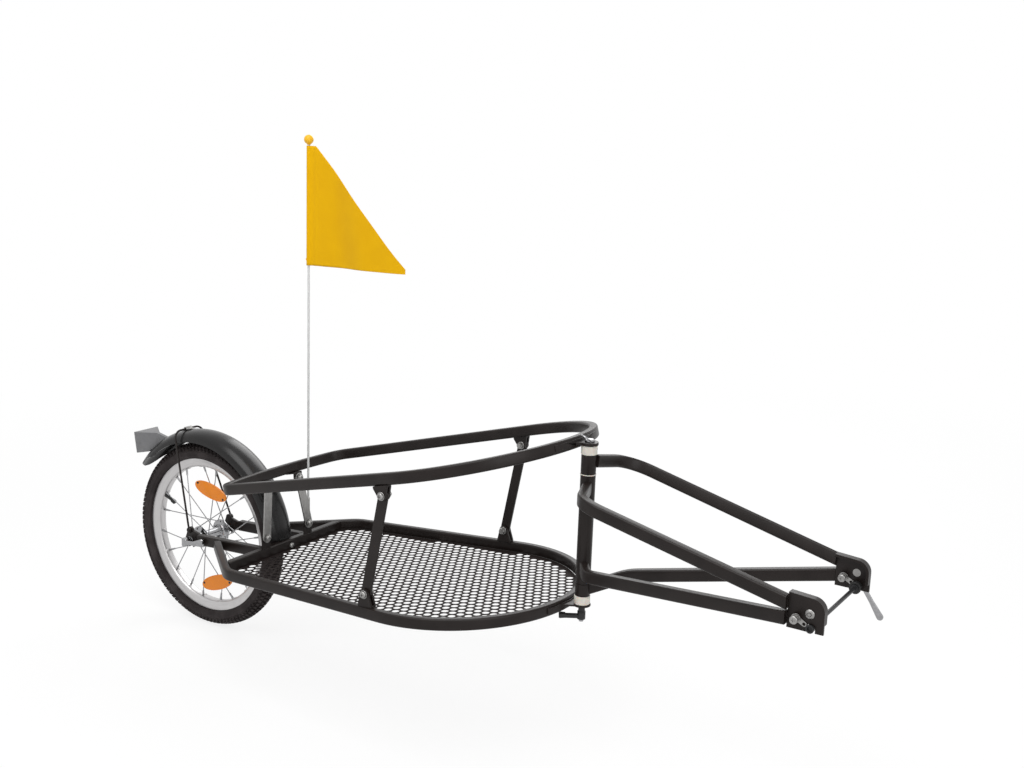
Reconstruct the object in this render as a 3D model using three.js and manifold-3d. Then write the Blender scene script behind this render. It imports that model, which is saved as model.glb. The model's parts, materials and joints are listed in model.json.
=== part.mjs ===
// Single wheel touring trailer for a bicycle, in the attitude it has behind the bicycle.
// Millimetres, +Z up, +X towards the bicycle. The frame's origin is the middle of the hitch axle.
// The chassis is drawn in deck coordinates, whose origin is the wheel axle, and leans with the deck.
import * as THREE from 'three';
import Module from 'manifold-3d';
import { mergeVertices } from 'three/addons/utils/BufferGeometryUtils.js';

// Stance
const tyreRadius = 190;
const leanDegrees = 3.55;
const headX = 872.1;
const hitchX = 1303;
const hitchHeight = 354;

// Clearances
const seatGap = 0.3;
const overrun = 4;
const weldDepth = 0.7;

// Steel frame tube
const tubeHeight = 20;
const tubeWidth = 15;
const tubeWall = 1.5;
const tubeEdge = 1.8;

// Deck rail, with the nose towards the bicycle
const deckTop = 16.5;
const deckNoseSetback = 21.1;
const deckNoseRadius = 222;
const deckSideDegrees = 4.4;
const deckCornerX = 232;
const deckCornerBend = 30;
const deckTailX = 70.9;
const crossbarFront = 212;

// Dropouts and their stays
const hubLength = 100;
const stayRear = 28;
const dropoutThickness = 5;
const dropoutRadius = 15;
const dropoutTail = 70;
const eyeletHeight = 21.2;
const eyeletRadius = 6.5;
const eyeletBore = 2.4;

// Deck sheet
const sheetThickness = 2;
const sheetHolePitch = 62;
const sheetHoleRadius = 21;
const sheetMargin = 7;

// Upper ring
const ringTiltDegrees = 11.31;
const ringNoseAhead = 1.7;
const ringNoseTop = 298;
const ringNoseInset = 7;
const ringSideDegrees = 6.3;
const ringRearX = 179.5;
const ringRearRadius = 250;
const ringCornerBend = 24;
const ventRadius = 2.6;
const ventDegrees = 7.5;
const ventDrop = 5;

// Side struts between the deck rail and the ring
const strutFootX = 582.7;
const strutFootZ = 38.6;
const strutTopX = 627.1;
const strutTopZ = 211.9;
const strutWidth = 19;
const strutThickness = 4;
const clevisLength = 29;
const clevisWidth = 13;
const clevisRound = 9;
const clevisBase = 3;
const strutBoltRadius = 3;
const strutBoltHead = 7;
const strutBoltHeadHeight = 4.5;
const strutWasherRadius = 8.5;
const strutNutRadius = 6;
const strutNutHeight = 7;

// Rear supports between the crossbar and the ring
const supportFootX = 214;
const supportFootY = 58;
const supportFootZ = 38;
const supportTopX = 209.2;
const supportTopY = 42.5;
const supportTopZ = 133.5;
const supportWidth = 19;
const supportThickness = 3;
const supportTabThickness = 2.6;
const supportTabWidth = 22;
const supportBoltRadius = 2.5;
const supportBoltHead = 5.5;
const supportBoltHeadHeight = 3.6;
const supportWasherRadius = 7;
const supportNutRadius = 4.6;
const supportNutHeight = 4;
const washerThickness = 1.4;

// Fender
const fenderClearance = 21;
const fenderCentreX = -5;
const fenderCentreZ = 5;
const fenderHalfWidth = 31;
const fenderDepth = 22;
const fenderWall = 2.6;
const fenderFrontDegrees = 4.5;
const fenderSideDegrees = 129;
const fenderRearDegrees = 146;
const fenderTabWidth = 26;
const fenderTabDrop = 22;
const fenderBoltHead = 5.2;
const fenderBoltHeadHeight = 3;
const fenderBoltY = 8.9;
const fenderBoltZ = 4.6;

// Fender stay wire and its clip
const stayWireRadius = 2;
const stayWireDegrees = 101.5;
const stayWireBend = 18;
const stayWireSpread = 38;
const stayEyeRadius = 5.5;
const stayEyeThickness = 3.4;
const clipWidth = 16;
const clipLength = 26;
const clipThickness = 1.6;

// Rear reflector housing
const reflectorDegrees = 131.38;
const reflectorStandoff = 47.4;
const reflectorHeight = 43.7;
const reflectorWidth = 60.4;
const reflectorLeanDegrees = 5.6;
const reflectorRim = 3;
const reflectorDepth = 38;
const reflectorApexHeight = 37;
const reflectorFoot = 8;
const reflectorFootHeight = 28;

// Flag and its pole
const poleX = 204;
const poleY = 66.5;
const poleRadius = 2.25;
const poleAboveFlag = 7;
const poleSocketRadius = 4.2;
const poleSocketHeight = 12;
const ferruleRadius = 3.3;
const ferruleBottom = 246;
const ferruleTop = 290;
const finialRadius = 9;
const flagBottom = 753;
const flagHeight = 225;
const flagLength = 232;
const flagFlatTop = 18;
const flagTipHeight = 9;
const flagThickness = 1;
const flagWave = 5;
const sleeveRadius = 4.2;

// Head
const headTubeRadius = 12.7;
const headTubeWall = 2.2;
const lowerSleeveHeight = 21.2;
const upperSleeveHeight = 32.6;
const hingeWasherThickness = 1.4;
const topSpacerHeight = 15.4;
const bottomSpacerHeight = 14.8;
const spacerRadius = 13.6;
const spacerSpigot = 8;
const lugRadius = 15;
const lugDepth = 5;
const bottomLugDepth = 3.2;
const lugWall = 2.5;
const lugSpan = 26;
const lugReach = 26;
const topLugRise = 0.6;
const bottomLugRise = 3.2;
const wingHeight = 10;
const topWingDegrees = 18;
const bottomWingDegrees = 15.5;
const swivelPinRadius = 6;
const swivelPinHead = 8.4;
const swivelPinHeadHeight = 4;
const swivelScrewRadius = 4;
const swivelScrewDrop = 2.7;
const swivelPinDrop = 28.2;

// Pin bail and clamp lever
const bailWire = 1.4;
const bailLength = 17;
const bailLiftDegrees = 32;
const bailAzimuthDegrees = 228;
const clampHubRadius = 7.2;
const clampHubHeight = 13.5;
const clampHubDrop = 24.2;
const clampNeckRadius = 5.8;
const clampNeckHeight = 8;
const clampArmLength = 38;
const clampArmWidth = 9;
const clampArmHeight = 7;
const clampArmLift = 2;
const clampPadLength = 11;
const clampPadRise = 1.4;
const clampPadWidth = 14;
const clampAzimuthDegrees = -148;

// Yoke arms
const armHeight = 21;
const plateRear = 36;
const upperEndY = 116.4;
const upperEndRise = 42.2;
const rightUpperRoot = [-4.1, 8, -10];
const rightUpperBend = [47.7, 124.8, 0.6];
const leftUpperRoot = [1.9, 8, -0.7];
const leftUpperBend = [7.9, 125.8, -24.5];
const upperBendRadius = 60;
const lowerEndY = 117.8;
const lowerEndRise = 20.2;
const rightLowerRoot = [-4.1, 9, 42];
const rightLowerBend = [17.9, 36, 34.5];
const rightLowerBendRadius = 30;
const leftLowerRoot = [0, 12.1, 0];
const leftLowerBend = [67.9, 30.3, 32.7];
const leftLowerBendRadius = 120;

// Hitch plates
const plateOuterY = 106;
const plateThickness = 4;
const plateFlange = 13;
const plateFlangeWall = 3;
const plateRise = 47;
const plateNoseRise = 44.5;
const plateNoseRadius = 20;
const plateAhead = 19;
const plateDrop = 6.5;
const slotRadius = 6.6;
const plateRivetSetback = 2.5;
const plateRivetRise = 21;
const plateRivetRadius = 7;
const plateRivetHeight = 1.2;

// Hitch latches
const latchPivotSetback = 21.9;
const latchPivotRise = 11.4;
const latchTipSetback = 9.6;
const latchTipRise = 4.6;
const latchWidth = 8;
const latchThickness = 1.6;
const latchBoltRadius = 2.2;
const latchBoltHead = 6.2;
const latchBoltHeadHeight = 2.8;
const latchBoltWasher = 7;
const latchBoltCollar = 4;
const latchBoltStandoff = 15;

// Hitch axle and its cam lever
const skewerRadius = 3.2;
const skewerBarrelRadius = 6;
const skewerBarrelInner = 88;
const skewerCapRadius = 6.5;
const skewerCapLength = 2;
const skewerSocketRadius = 3.9;
const skewerSocketDepth = 3;
const skewerOverhang = 5;
const spacerBossRadius = 9;
const spacerBossLength = 7.8;
const spacerRingRadius = 9.8;
const spacerRingLength = 2.5;
const camRadius = 7;
const camWidth = 12;
const hitchLeverLength = 62;
const hitchLeverRoot = 7;
const hitchLeverTip = 11;
const hitchLeverThickness = 4;
const hitchLeverSplayDegrees = 7;
const hitchLeverRakeDegrees = 32;

// Wheel
const tyreWidth = 44;
const tyreHeight = 31.5;
const tyreBeadDepth = 6.5;
const rimWidth = 26;
const rimDepth = 18.5;
const rimWellWidth = 15;
const rimWellDepth = 8.5;
const rimFlange = 2.2;
const tyreBeadWidth = 20;
const hubFlangeRadius = 22;
const hubFlangeSpacing = 56;
const hubFlangeThickness = 3.4;
const hubBarrelRadius = 9;
const hubBoreRadius = 5.4;
const hubEndRadius = 9.5;
const spokeRadius = 1.1;
const spokeHoleRadius = 18.5;
const spokeRimSpread = 3.5;
const axleRadius = 4.8;
const axleNutRadius = 8;
const axleNutLength = 5.5;
const valveRadius = 3;
const valveLength = 27;
const valveDegrees = 156.5;
const valveCapRadius = 3.8;
const valveCapLength = 9;

// Wheel release lever
const leverCamRadius = 7.2;
const leverCamHeight = 15;
const leverReach = 52;
const leverRise = 8;
const leverRootHeight = 9;
const leverTipHeight = 15;
const leverThickness = 5;

// Spoke reflectors
const reflectorLensLength = 86;
const reflectorLensHeight = 29;
const reflectorLensThickness = 4;
const reflectorLensCentre = 99;
const reflectorLensY = 15.1;
const upperLensDegrees = 79;
const lowerLensDegrees = -70;

// Shares
const archShare = 0.8;
const tongueShare = 0.9;
const rivetShare = 0.6;

// Counts
const noseSteps = 16;
const ringRearSteps = 6;
const bendStepDegrees = 16;
const wheelSteps = 32;
const spokeCount = 20;
const roundSteps = 10;
const screwSteps = 8;
const turnedSteps = 16;
const headSteps = 20;
const fenderSteps = 14;
const fenderTailSteps = 4;
const sectionSteps = 7;

const wasm = await Module();
wasm.setup();

const lean = THREE.MathUtils.degToRad(leanDegrees);
const V = (x, y, z) => new THREE.Vector3(x, y, z);
const across = V(0, 1, 0);

// Solids and booleans
function solid(geometry) {
  const bare = geometry.clone();
  bare.deleteAttribute('normal');
  bare.deleteAttribute('uv');
  const merged = mergeVertices(bare);
  return new wasm.Manifold(new wasm.Mesh({
    numProp: 3,
    vertProperties: new Float32Array(merged.attributes.position.array),
    triVerts: new Uint32Array(merged.index.array),
  }));
}

function geometryOf(manifold) {
  const mesh = manifold.getMesh();
  const geometry = new THREE.BufferGeometry();
  geometry.setAttribute('position', new THREE.BufferAttribute(new Float32Array(mesh.vertProperties), 3));
  geometry.setIndex(new THREE.BufferAttribute(new Uint32Array(mesh.triVerts), 1));
  return geometry;
}

function cut(geometry, ...tools) {
  return geometryOf(tools.reduce((rest, tool) => rest.subtract(solid(tool)), solid(geometry)));
}

function join(first, ...others) {
  return geometryOf(others.reduce((sum, other) => sum.add(solid(other)), solid(first)));
}

function keep(geometry, region) {
  return geometryOf(solid(geometry).intersect(solid(region)));
}

// The same piece for the other side of the trailer
function mirrored(geometry) {
  const copy = geometry.clone();
  copy.deleteAttribute('normal');
  copy.deleteAttribute('uv');
  copy.scale(1, -1, 1);
  const indexed = copy.index ? copy : mergeVertices(copy);
  const order = indexed.index.array;
  for (let i = 0; i < order.length; i += 3) [order[i], order[i + 1]] = [order[i + 1], order[i]];
  return indexed;
}

// Basic shapes
function block(x0, x1, y0, y1, z0, z1) {
  const box = new THREE.BoxGeometry(x1 - x0, y1 - y0, z1 - z0);
  return box.translate((x0 + x1) / 2, (y0 + y1) / 2, (z0 + z1) / 2);
}

// A round bar from one point to another
function rod(from, to, radius, endRadius = radius, steps = roundSteps) {
  const line = to.clone().sub(from);
  const bar = new THREE.CylinderGeometry(endRadius, radius, line.length(), steps);
  bar.applyQuaternion(new THREE.Quaternion().setFromUnitVectors(across, line.clone().normalize()));
  const middle = from.clone().add(to).multiplyScalar(1 / 2);
  return bar.translate(middle.x, middle.y, middle.z);
}

// A flat plate in the XZ plane, from y0 to y1, drawn by a function in x and z
function sidePlate(shape, y0, y1) {
  const plate = new THREE.ExtrudeGeometry(shape, { depth: y1 - y0, bevelEnabled: false, curveSegments: 8 });
  return plate.rotateX(Math.PI / 2).translate(0, y1, 0);
}

// A flat plate lying level between two heights
function levelPlate(shape, z0, z1) {
  const plate = new THREE.ExtrudeGeometry(shape, { depth: z1 - z0, bevelEnabled: false, curveSegments: 8 });
  return plate.translate(0, 0, z0);
}

// A turned piece on the Y axis, from pairs of radius and place along the axis
function turned(profile, steps = roundSteps) {
  return new THREE.LatheGeometry(profile.map(([r, y]) => new THREE.Vector2(r, y)), steps);
}

// A turned piece on a vertical axis at (x, y), from pairs of radius and height
function turnedUpright(profile, x, y, steps = roundSteps) {
  return turned(profile, steps).rotateX(Math.PI / 2).translate(x, y, 0);
}

// A flat bar with round ends and a hole in each, between two points, its face square to normal
function flatBar(from, to, normal, width, thickness, bore) {
  const line = to.clone().sub(from);
  const length = line.length();
  const shape = new THREE.Shape();
  shape.absarc(length, 0, width / 2, -Math.PI / 2, Math.PI / 2, false);
  shape.absarc(0, 0, width / 2, Math.PI / 2, 3 * Math.PI / 2, false);
  for (const place of [0, length]) {
    const hole = new THREE.Path();
    hole.absarc(place, 0, bore, 0, 2 * Math.PI, true);
    shape.holes.push(hole);
  }
  const bar = new THREE.ExtrudeGeometry(shape, { depth: thickness, bevelEnabled: false, curveSegments: 6 });
  bar.translate(0, 0, -thickness / 2);
  const along = line.normalize();
  const side = normal.clone().cross(along).normalize();
  const face = along.clone().cross(side);
  bar.applyMatrix4(new THREE.Matrix4().makeBasis(along, side, face));
  return bar.translate(from.x, from.y, from.z);
}

// Sweeps: the outline's x lies to the right of the travel and its y along up
function tubeOutline(width, height, inset, edge) {
  const [left, right, bottom, top] = [inset - width, -inset, inset - height, -inset];
  if (edge <= 0) return [[left, bottom], [right, bottom], [right, top], [left, top]];
  return [
    [left + edge, bottom], [right - edge, bottom], [right, bottom + edge], [right, top - edge],
    [right - edge, top], [left + edge, top], [left, top - edge], [left, bottom + edge],
  ];
}

function orderedLoop(loop) {
  const points = loop.map(([x, y]) => new THREE.Vector2(x, y));
  return THREE.ShapeUtils.area(points) < 0 ? points.reverse() : points;
}

function sweep(outer, inner, path, up, { closed = false, startFace, endFace } = {}) {
  const loops = inner ? [orderedLoop(outer), orderedLoop(inner)] : [orderedLoop(outer)];
  const outline = loops.flat();
  const count = path.length;
  const heading = (i) => path[(i + 1) % count].clone().sub(path[(i + count) % count]).normalize();
  const faceAt = (i) => {
    if (!closed && i === 0) return (startFace ?? heading(0)).clone();
    if (!closed && i === count - 1) return (endFace ?? heading(count - 2)).clone();
    return heading((i + count - 1) % count).add(heading(i)).normalize();
  };
  const right = heading(0).cross(up).normalize();
  const rise = right.clone().cross(heading(0));
  let ring = outline.map((p) => path[0].clone().addScaledVector(right, p.x).addScaledVector(rise, p.y));
  const positions = [];
  for (let i = 0; i < count; i += 1) {
    const travel = i === 0 ? heading(0) : heading(i - 1);
    const face = faceAt(i);
    ring = ring.map((p) => {
      const step = path[i].clone().sub(p).dot(face) / travel.dot(face);
      return p.clone().addScaledVector(travel, step);
    });
    ring.forEach((p) => positions.push(p.x, p.y, p.z));
  }
  const index = [];
  const spans = closed ? count : count - 1;
  for (let i = 0; i < spans; i += 1) {
    const here = i * outline.length;
    const next = ((i + 1) % count) * outline.length;
    let start = 0;
    loops.forEach((loop, which) => {
      for (let j = 0; j < loop.length; j += 1) {
        const a = start + j;
        const b = start + (j + 1) % loop.length;
        if (which === 0) index.push(here + a, next + a, here + b, here + b, next + a, next + b);
        else index.push(here + a, here + b, next + a, here + b, next + b, next + a);
      }
      start += loop.length;
    });
  }
  if (!closed) {
    const last = (count - 1) * outline.length;
    for (const face of THREE.ShapeUtils.triangulateShape(loops[0], loops.slice(1))) {
      const turn = THREE.ShapeUtils.area(face.map((k) => outline[k]));
      const [a, b, c] = turn > 0 ? face : [face[0], face[2], face[1]];
      index.push(a, b, c, last + a, last + c, last + b);
    }
  }
  const geometry = new THREE.BufferGeometry();
  geometry.setAttribute('position', new THREE.Float32BufferAttribute(positions, 3));
  geometry.setIndex(index);
  return geometry;
}

function tube(path, up, options, height = tubeHeight) {
  const outer = tubeOutline(tubeWidth, height, 0, tubeEdge);
  const inner = tubeOutline(tubeWidth, height, tubeWall, 0);
  return sweep(outer, inner, path, up, options);
}

function wire(path, radius, up, sides = 6) {
  const loop = [];
  for (let k = 0; k < sides; k += 1) {
    const angle = 2 * Math.PI * k / sides;
    loop.push([radius * Math.cos(angle), radius * Math.sin(angle)]);
  }
  return sweep(loop, null, path, up);
}

// The points of a line whose corners are rounded: each corner is a place and a bend radius
function route(corners, closed = false) {
  const count = corners.length;
  const points = [];
  corners.forEach(([at, bend], i) => {
    if (!bend || (!closed && (i === 0 || i === count - 1))) {
      points.push(at);
      return;
    }
    const back = corners[(i + count - 1) % count][0].clone().sub(at).normalize();
    const ahead = corners[(i + 1) % count][0].clone().sub(at).normalize();
    const turn = Math.PI - back.angleTo(ahead);
    const reach = bend * Math.tan(turn / 2);
    const centre = at.clone().addScaledVector(back.clone().add(ahead).normalize(), bend / Math.cos(turn / 2));
    const start = at.clone().addScaledVector(back, reach).sub(centre);
    const end = at.clone().addScaledVector(ahead, reach).sub(centre);
    const axis = start.clone().cross(end).normalize();
    const steps = Math.max(1, Math.ceil(turn / THREE.MathUtils.degToRad(bendStepDegrees)));
    for (let k = 0; k <= steps; k += 1) {
      points.push(start.clone().applyAxisAngle(axis, turn * k / steps).add(centre));
    }
  });
  return points;
}

function arc(centreX, radius, fromAngle, toAngle, steps) {
  const points = [];
  for (let k = 0; k <= steps; k += 1) {
    const angle = fromAngle + (toAngle - fromAngle) * k / steps;
    points.push([centreX + radius * Math.cos(angle), radius * Math.sin(angle)]);
  }
  return points;
}

// Half width of a loop at x, where its side runs straight back from the nose's round
function sideHalf(x, noseCentre, radius, sideAngle) {
  return (radius + (x - noseCentre) * Math.sin(sideAngle)) / Math.cos(sideAngle);
}

// Deck plan
const deckSide = THREE.MathUtils.degToRad(deckSideDegrees);
const deckNoseX = headX - deckNoseSetback;
const deckNoseCentre = deckNoseX - deckNoseRadius;
const deckBottom = deckTop - tubeHeight;
const deckHalf = (x, inset = 0) => sideHalf(x, deckNoseCentre, deckNoseRadius - inset, deckSide);
const stayInner = hubLength / 2 - tubeWall;
const stayOuter = stayInner + tubeWidth;
const deckIncline = Math.atan2(deckHalf(deckCornerX) - stayOuter, deckCornerX - deckTailX);
const crossbarRear = crossbarFront - tubeWidth;

// The rail's rear corner, moved in by inset from the outer face
function deckCorner(inset) {
  const sideNormal = new THREE.Vector2(-Math.sin(deckSide), Math.cos(deckSide));
  const inclineNormal = new THREE.Vector2(-Math.sin(deckIncline), Math.cos(deckIncline));
  const shift = sideNormal.clone().add(inclineNormal).multiplyScalar(-inset / (1 + sideNormal.dot(inclineNormal)));
  return new THREE.Vector2(deckCornerX, deckHalf(deckCornerX)).add(shift);
}

// Half width of the inclined part at x
function inclineHalf(x, inset) {
  const corner = deckCorner(inset);
  return corner.y - (corner.x - x) * Math.tan(deckIncline);
}

function deckLoop(inset, tail) {
  const corner = deckCorner(inset);
  const tailX = corner.x - (corner.y - tail) / Math.tan(deckIncline);
  const bend = deckCornerBend - inset;
  const nose = arc(deckNoseCentre, deckNoseRadius - inset, -Math.PI / 2 - deckSide, Math.PI / 2 + deckSide, noseSteps);
  return route([
    [V(tailX, -tail, 0), 0],
    [V(corner.x, -corner.y, 0), bend],
    ...nose.map(([x, y]) => [V(x, y, 0), 0]),
    [V(corner.x, corner.y, 0), bend],
    [V(tailX, tail, 0), 0],
  ]);
}

// Ring plan, in its own tilted plane: s runs along the slope
const ringTilt = THREE.MathUtils.degToRad(ringTiltDegrees);
const ringSide = THREE.MathUtils.degToRad(ringSideDegrees);
const ringUp = V(-Math.sin(ringTilt), 0, Math.cos(ringTilt));
const ringNoseX = headX + ringNoseAhead;
const ringNoseRadius = deckNoseRadius - ringNoseInset;
const ringNoseCentre = ringNoseX / Math.cos(ringTilt) - ringNoseRadius;
const ringRearCentre = ringRearX / Math.cos(ringTilt) + ringRearRadius;
const ringTopAt = (x) => ringNoseTop + (x - ringNoseX) * Math.tan(ringTilt);
const ringUnderAt = (x) => ringTopAt(x) - tubeHeight / Math.cos(ringTilt);
const ringPoint = (s, y) => V(s * Math.cos(ringTilt), y, ringTopAt(s * Math.cos(ringTilt)));
const ringHalf = (x) => sideHalf(x / Math.cos(ringTilt), ringNoseCentre, ringNoseRadius, ringSide);

function ringPath() {
  const half0 = sideHalf(0, ringNoseCentre, ringNoseRadius, ringSide);
  const slope = Math.tan(ringSide);
  const a = 1 + slope * slope;
  const b = half0 * slope - ringRearCentre;
  const c = ringRearCentre * ringRearCentre + half0 * half0 - ringRearRadius * ringRearRadius;
  const cornerS = (-b - Math.sqrt(b * b - a * c)) / a;
  const cornerY = half0 + slope * cornerS;
  const spread = Math.atan2(cornerY, ringRearCentre - cornerS);
  const nose = arc(ringNoseCentre, ringNoseRadius, -Math.PI / 2 - ringSide, Math.PI / 2 + ringSide, noseSteps);
  const rear = arc(ringRearCentre, ringRearRadius, Math.PI - spread, Math.PI + spread, ringRearSteps);
  return route([
    [ringPoint(cornerS, -cornerY), ringCornerBend],
    ...nose.map(([s, y]) => [ringPoint(s, y), 0]),
    [ringPoint(cornerS, cornerY), ringCornerBend],
    ...rear.slice(1, -1).map(([s, y]) => [ringPoint(s, y), 0]),
  ], true);
}

// Materials
const finish = (color, roughness, metalness) => new THREE.MeshStandardMaterial({ color, roughness, metalness });
const coat = finish(0x2b2422, 0.45, 0.35);
const zinc = finish(0x9c9c98, 0.4, 0.8);
const chrome = finish(0xd8d8d8, 0.15, 1);
const alloy = finish(0xb4b6b8, 0.35, 0.9);
const nylon = finish(0xd8d2c6, 0.5, 0);
const rubber = finish(0x2a2725, 0.75, 0);
const darkPlastic = finish(0x1c1b1b, 0.4, 0);
const greyPlastic = finish(0xa9a9ac, 0.5, 0);
const amber = finish(0xe08a08, 0.25, 0);
const white = finish(0xe8e8e6, 0.4, 0);
const yellow = finish(0xf2e20a, 0.7, 0);
const warmYellow = finish(0xf0b010, 0.4, 0);

// The root group puts the frame's origin on the hitch axle
const trailer = new THREE.Group();
trailer.position.set(-hitchX, 0, -hitchHeight);
const chassis = new THREE.Group();
chassis.position.z = tyreRadius;
chassis.rotation.y = -lean;
trailer.add(chassis);

function add(group, name, geometry, material) {
  const mesh = new THREE.Mesh(geometry, material.clone());
  mesh.name = name;
  group.add(mesh);
}

function addPair(group, name, rightGeometry, material) {
  add(group, `${name}_right`, rightGeometry, material);
  add(group, `${name}_left`, mirrored(rightGeometry), material);
}

// A shape drawn upright at the head, carried into deck coordinates
function toDeck(geometry) {
  return geometry.translate(0, 0, -tyreRadius).rotateY(lean);
}

// Screws: built along Y, clamping what lies from y = 0 to y = grip, with the head at the -Y end
function screw({ grip, shank, head, headHeight, washer, nut, nutHeight, hexHead = false }) {
  const nearSeat = -seatGap;
  const nearFace = nearSeat - washerThickness;
  const farSeat = grip + seatGap;
  const farFace = farSeat + washerThickness;
  const stem = turned([
    [0, nearFace], [washer, nearFace], [washer, nearSeat], [shank, nearSeat], [shank, farSeat],
    [washer, farSeat], [washer, farFace], [0, farFace],
  ], screwSteps);
  const nutBody = rod(V(0, grip, 0), V(0, farFace + nutHeight, 0), nut, nut, 6);
  const hex = () => rod(V(0, nearSeat, 0), V(0, nearFace - headHeight, 0), head, head, 6);
  const dome = () => turned([
    [0, nearFace - headHeight], [head * 0.6, nearFace - headHeight * 0.9],
    [head * 0.9, nearFace - headHeight * 0.6], [head, nearFace - headHeight * 0.3], [head, nearSeat], [0, nearSeat],
  ], screwSteps);
  return join(stem, hexHead ? hex() : dome(), nutBody);
}

// Deck frame
function deckRail() {
  const tail = stayOuter + seatGap + tubeWidth * Math.cos(deckIncline);
  const path = deckLoop(0, tail).map((p) => p.setZ(deckTop));
  return join(tube(path, V(0, 0, 1)), clevis(strutFootX, deckTop, strutFootZ - deckTop, 0, false));
}

// Both clevises of one level: a U bracket on a foot plane, standing up or hanging down
function clevis(boltX, footZ, height, tilt, hanging) {
  const half = clevisLength / 2;
  const shape = new THREE.Shape();
  shape.moveTo(-half, -weldDepth);
  shape.lineTo(half, -weldDepth);
  shape.lineTo(half, clevisBase);
  shape.absarc(0, height, clevisRound, 0, Math.PI, false);
  shape.lineTo(-half, clevisBase);
  const cheeks = sidePlate(shape, -clevisWidth / 2, clevisWidth / 2);
  const slotHalf = strutThickness / 2 + seatGap;
  const top = height + clevisRound + overrun;
  const slot = block(-half - overrun, half + overrun, -slotHalf, slotHalf, clevisBase, top);
  const bore = rod(V(0, -clevisWidth, height), V(0, clevisWidth, height), strutBoltRadius + seatGap);
  const bracket = cut(cheeks, slot, bore);
  if (hanging) bracket.rotateX(Math.PI);
  bracket.rotateY(-tilt).translate(boltX, -strutPlane, footZ);
  return join(bracket, mirrored(bracket));
}

// A rear support leans, so its tabs stand back from it by what its round end needs
const supportLean = (supportFootX - supportTopX) / (supportTopZ - supportFootZ);
const supportSlack = seatGap + supportLean * supportWidth / 2;

const strutPlane = (deckHalf(strutFootX) + ringHalf(strutTopX) - tubeWidth) / 2;

function rearCrossbar() {
  const inset = tubeWidth + seatGap;
  const half = inclineHalf(crossbarFront, inset);
  const rightFace = V(Math.sin(deckIncline), Math.cos(deckIncline), 0);
  const leftFace = V(-Math.sin(deckIncline), Math.cos(deckIncline), 0);
  const path = [V(crossbarFront, -half, deckTop), V(crossbarFront, half, deckTop)];
  const bar = tube(path, V(0, 0, 1), { startFace: rightFace, endFace: leftFace });
  const bolt = rod(V(crossbarRear - overrun, fenderBoltY, fenderBoltZ),
    V(crossbarFront + overrun, fenderBoltY, fenderBoltZ), supportBoltRadius + seatGap);
  return cut(join(bar, supportTab(1), supportTab(-1)), bolt);
}

// The upright tab that a rear support is bolted to
function supportTab(side) {
  const front = supportFootX - supportThickness / 2 - supportSlack;
  const half = supportTabWidth / 2;
  const shape = new THREE.Shape();
  shape.moveTo(-half, deckTop - weldDepth);
  shape.lineTo(half, deckTop - weldDepth);
  shape.absarc(0, supportFootZ, supportWidth / 2, 0, Math.PI, false);
  const hole = new THREE.Path();
  hole.absarc(0, supportFootZ, supportBoltRadius + seatGap, 0, 2 * Math.PI, true);
  shape.holes.push(hole);
  const tab = sidePlate(shape, 0, supportTabThickness).rotateZ(Math.PI / 2);
  return tab.translate(front, side * supportFootY, 0);
}

function dropoutStay() {
  const path = [V(stayRear, -stayOuter, deckTop), V(crossbarRear - seatGap, -stayOuter, deckTop)];
  const boreTop = deckTop - tubeWall;
  const boreBottom = deckBottom + tubeWall;
  const slotHalf = axleRadius + seatGap;
  const slotAngle = Math.asin(slotHalf / dropoutRadius);
  const shape = new THREE.Shape();
  shape.moveTo(dropoutTail, boreTop);
  shape.lineTo(stayRear, boreTop);
  shape.absarc(0, eyeletHeight, eyeletRadius, 0, Math.PI, false);
  shape.absarc(0, 0, dropoutRadius, Math.PI * 0.86, 3 * Math.PI / 2 - slotAngle, false);
  shape.absarc(0, 0, slotHalf, Math.PI, 0, true);
  shape.absarc(0, 0, dropoutRadius, slotAngle - Math.PI / 2, -Math.PI * 0.12, false);
  shape.lineTo(stayRear, boreBottom);
  shape.lineTo(dropoutTail, boreBottom);
  const hole = new THREE.Path();
  hole.absarc(0, eyeletHeight, eyeletBore, 0, 2 * Math.PI, true);
  shape.holes.push(hole);
  const inner = -hubLength / 2 + weldDepth;
  const plate = sidePlate(shape, inner - dropoutThickness, inner);
  return join(tube(path, V(0, 0, 1)), plate);
}

// Perforated deck sheet, inside the rail and flush with its underside
function deckSheet() {
  const inset = tubeWidth + seatGap;
  const front = crossbarFront + seatGap;
  const edge = deckLoop(inset, stayOuter).filter((p) => p.x > front).map((p) => new THREE.Vector2(p.x, p.y));
  const half = inclineHalf(front, inset);
  const shape = new THREE.Shape([new THREE.Vector2(front, -half), ...edge, new THREE.Vector2(front, half)]);
  const rowStep = sheetHolePitch * Math.sqrt(3) / 2;
  const columns = Math.ceil(deckNoseRadius / sheetHolePitch);
  const reach = sheetHoleRadius + sheetMargin;
  const clear = (x, y) => {
    if (x < front + reach) return false;
    const noseReach = deckNoseRadius - inset - reach;
    if (x > deckNoseCentre) return Math.hypot(x - deckNoseCentre, y) < noseReach;
    return Math.abs(y) < Math.min(deckHalf(x, inset), inclineHalf(x, inset)) - reach;
  };
  for (let row = 0; front + row * rowStep < deckNoseX; row += 1) {
    const x = front + reach + row * rowStep;
    const shift = row % 2 ? sheetHolePitch / 2 : 0;
    for (let k = -columns; k <= columns; k += 1) {
      const y = shift + k * sheetHolePitch;
      if (!clear(x, y)) continue;
      const hole = new THREE.Path();
      for (let side = 0; side < 6; side += 1) {
        const angle = Math.PI / 6 - side * Math.PI / 3;
        const place = [x + sheetHoleRadius * Math.cos(angle), y + sheetHoleRadius * Math.sin(angle)];
        if (side === 0) hole.moveTo(...place);
        else hole.lineTo(...place);
      }
      hole.closePath();
      shape.holes.push(hole);
    }
  }
  return levelPlate(shape, deckBottom, deckBottom + sheetThickness);
}

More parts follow.
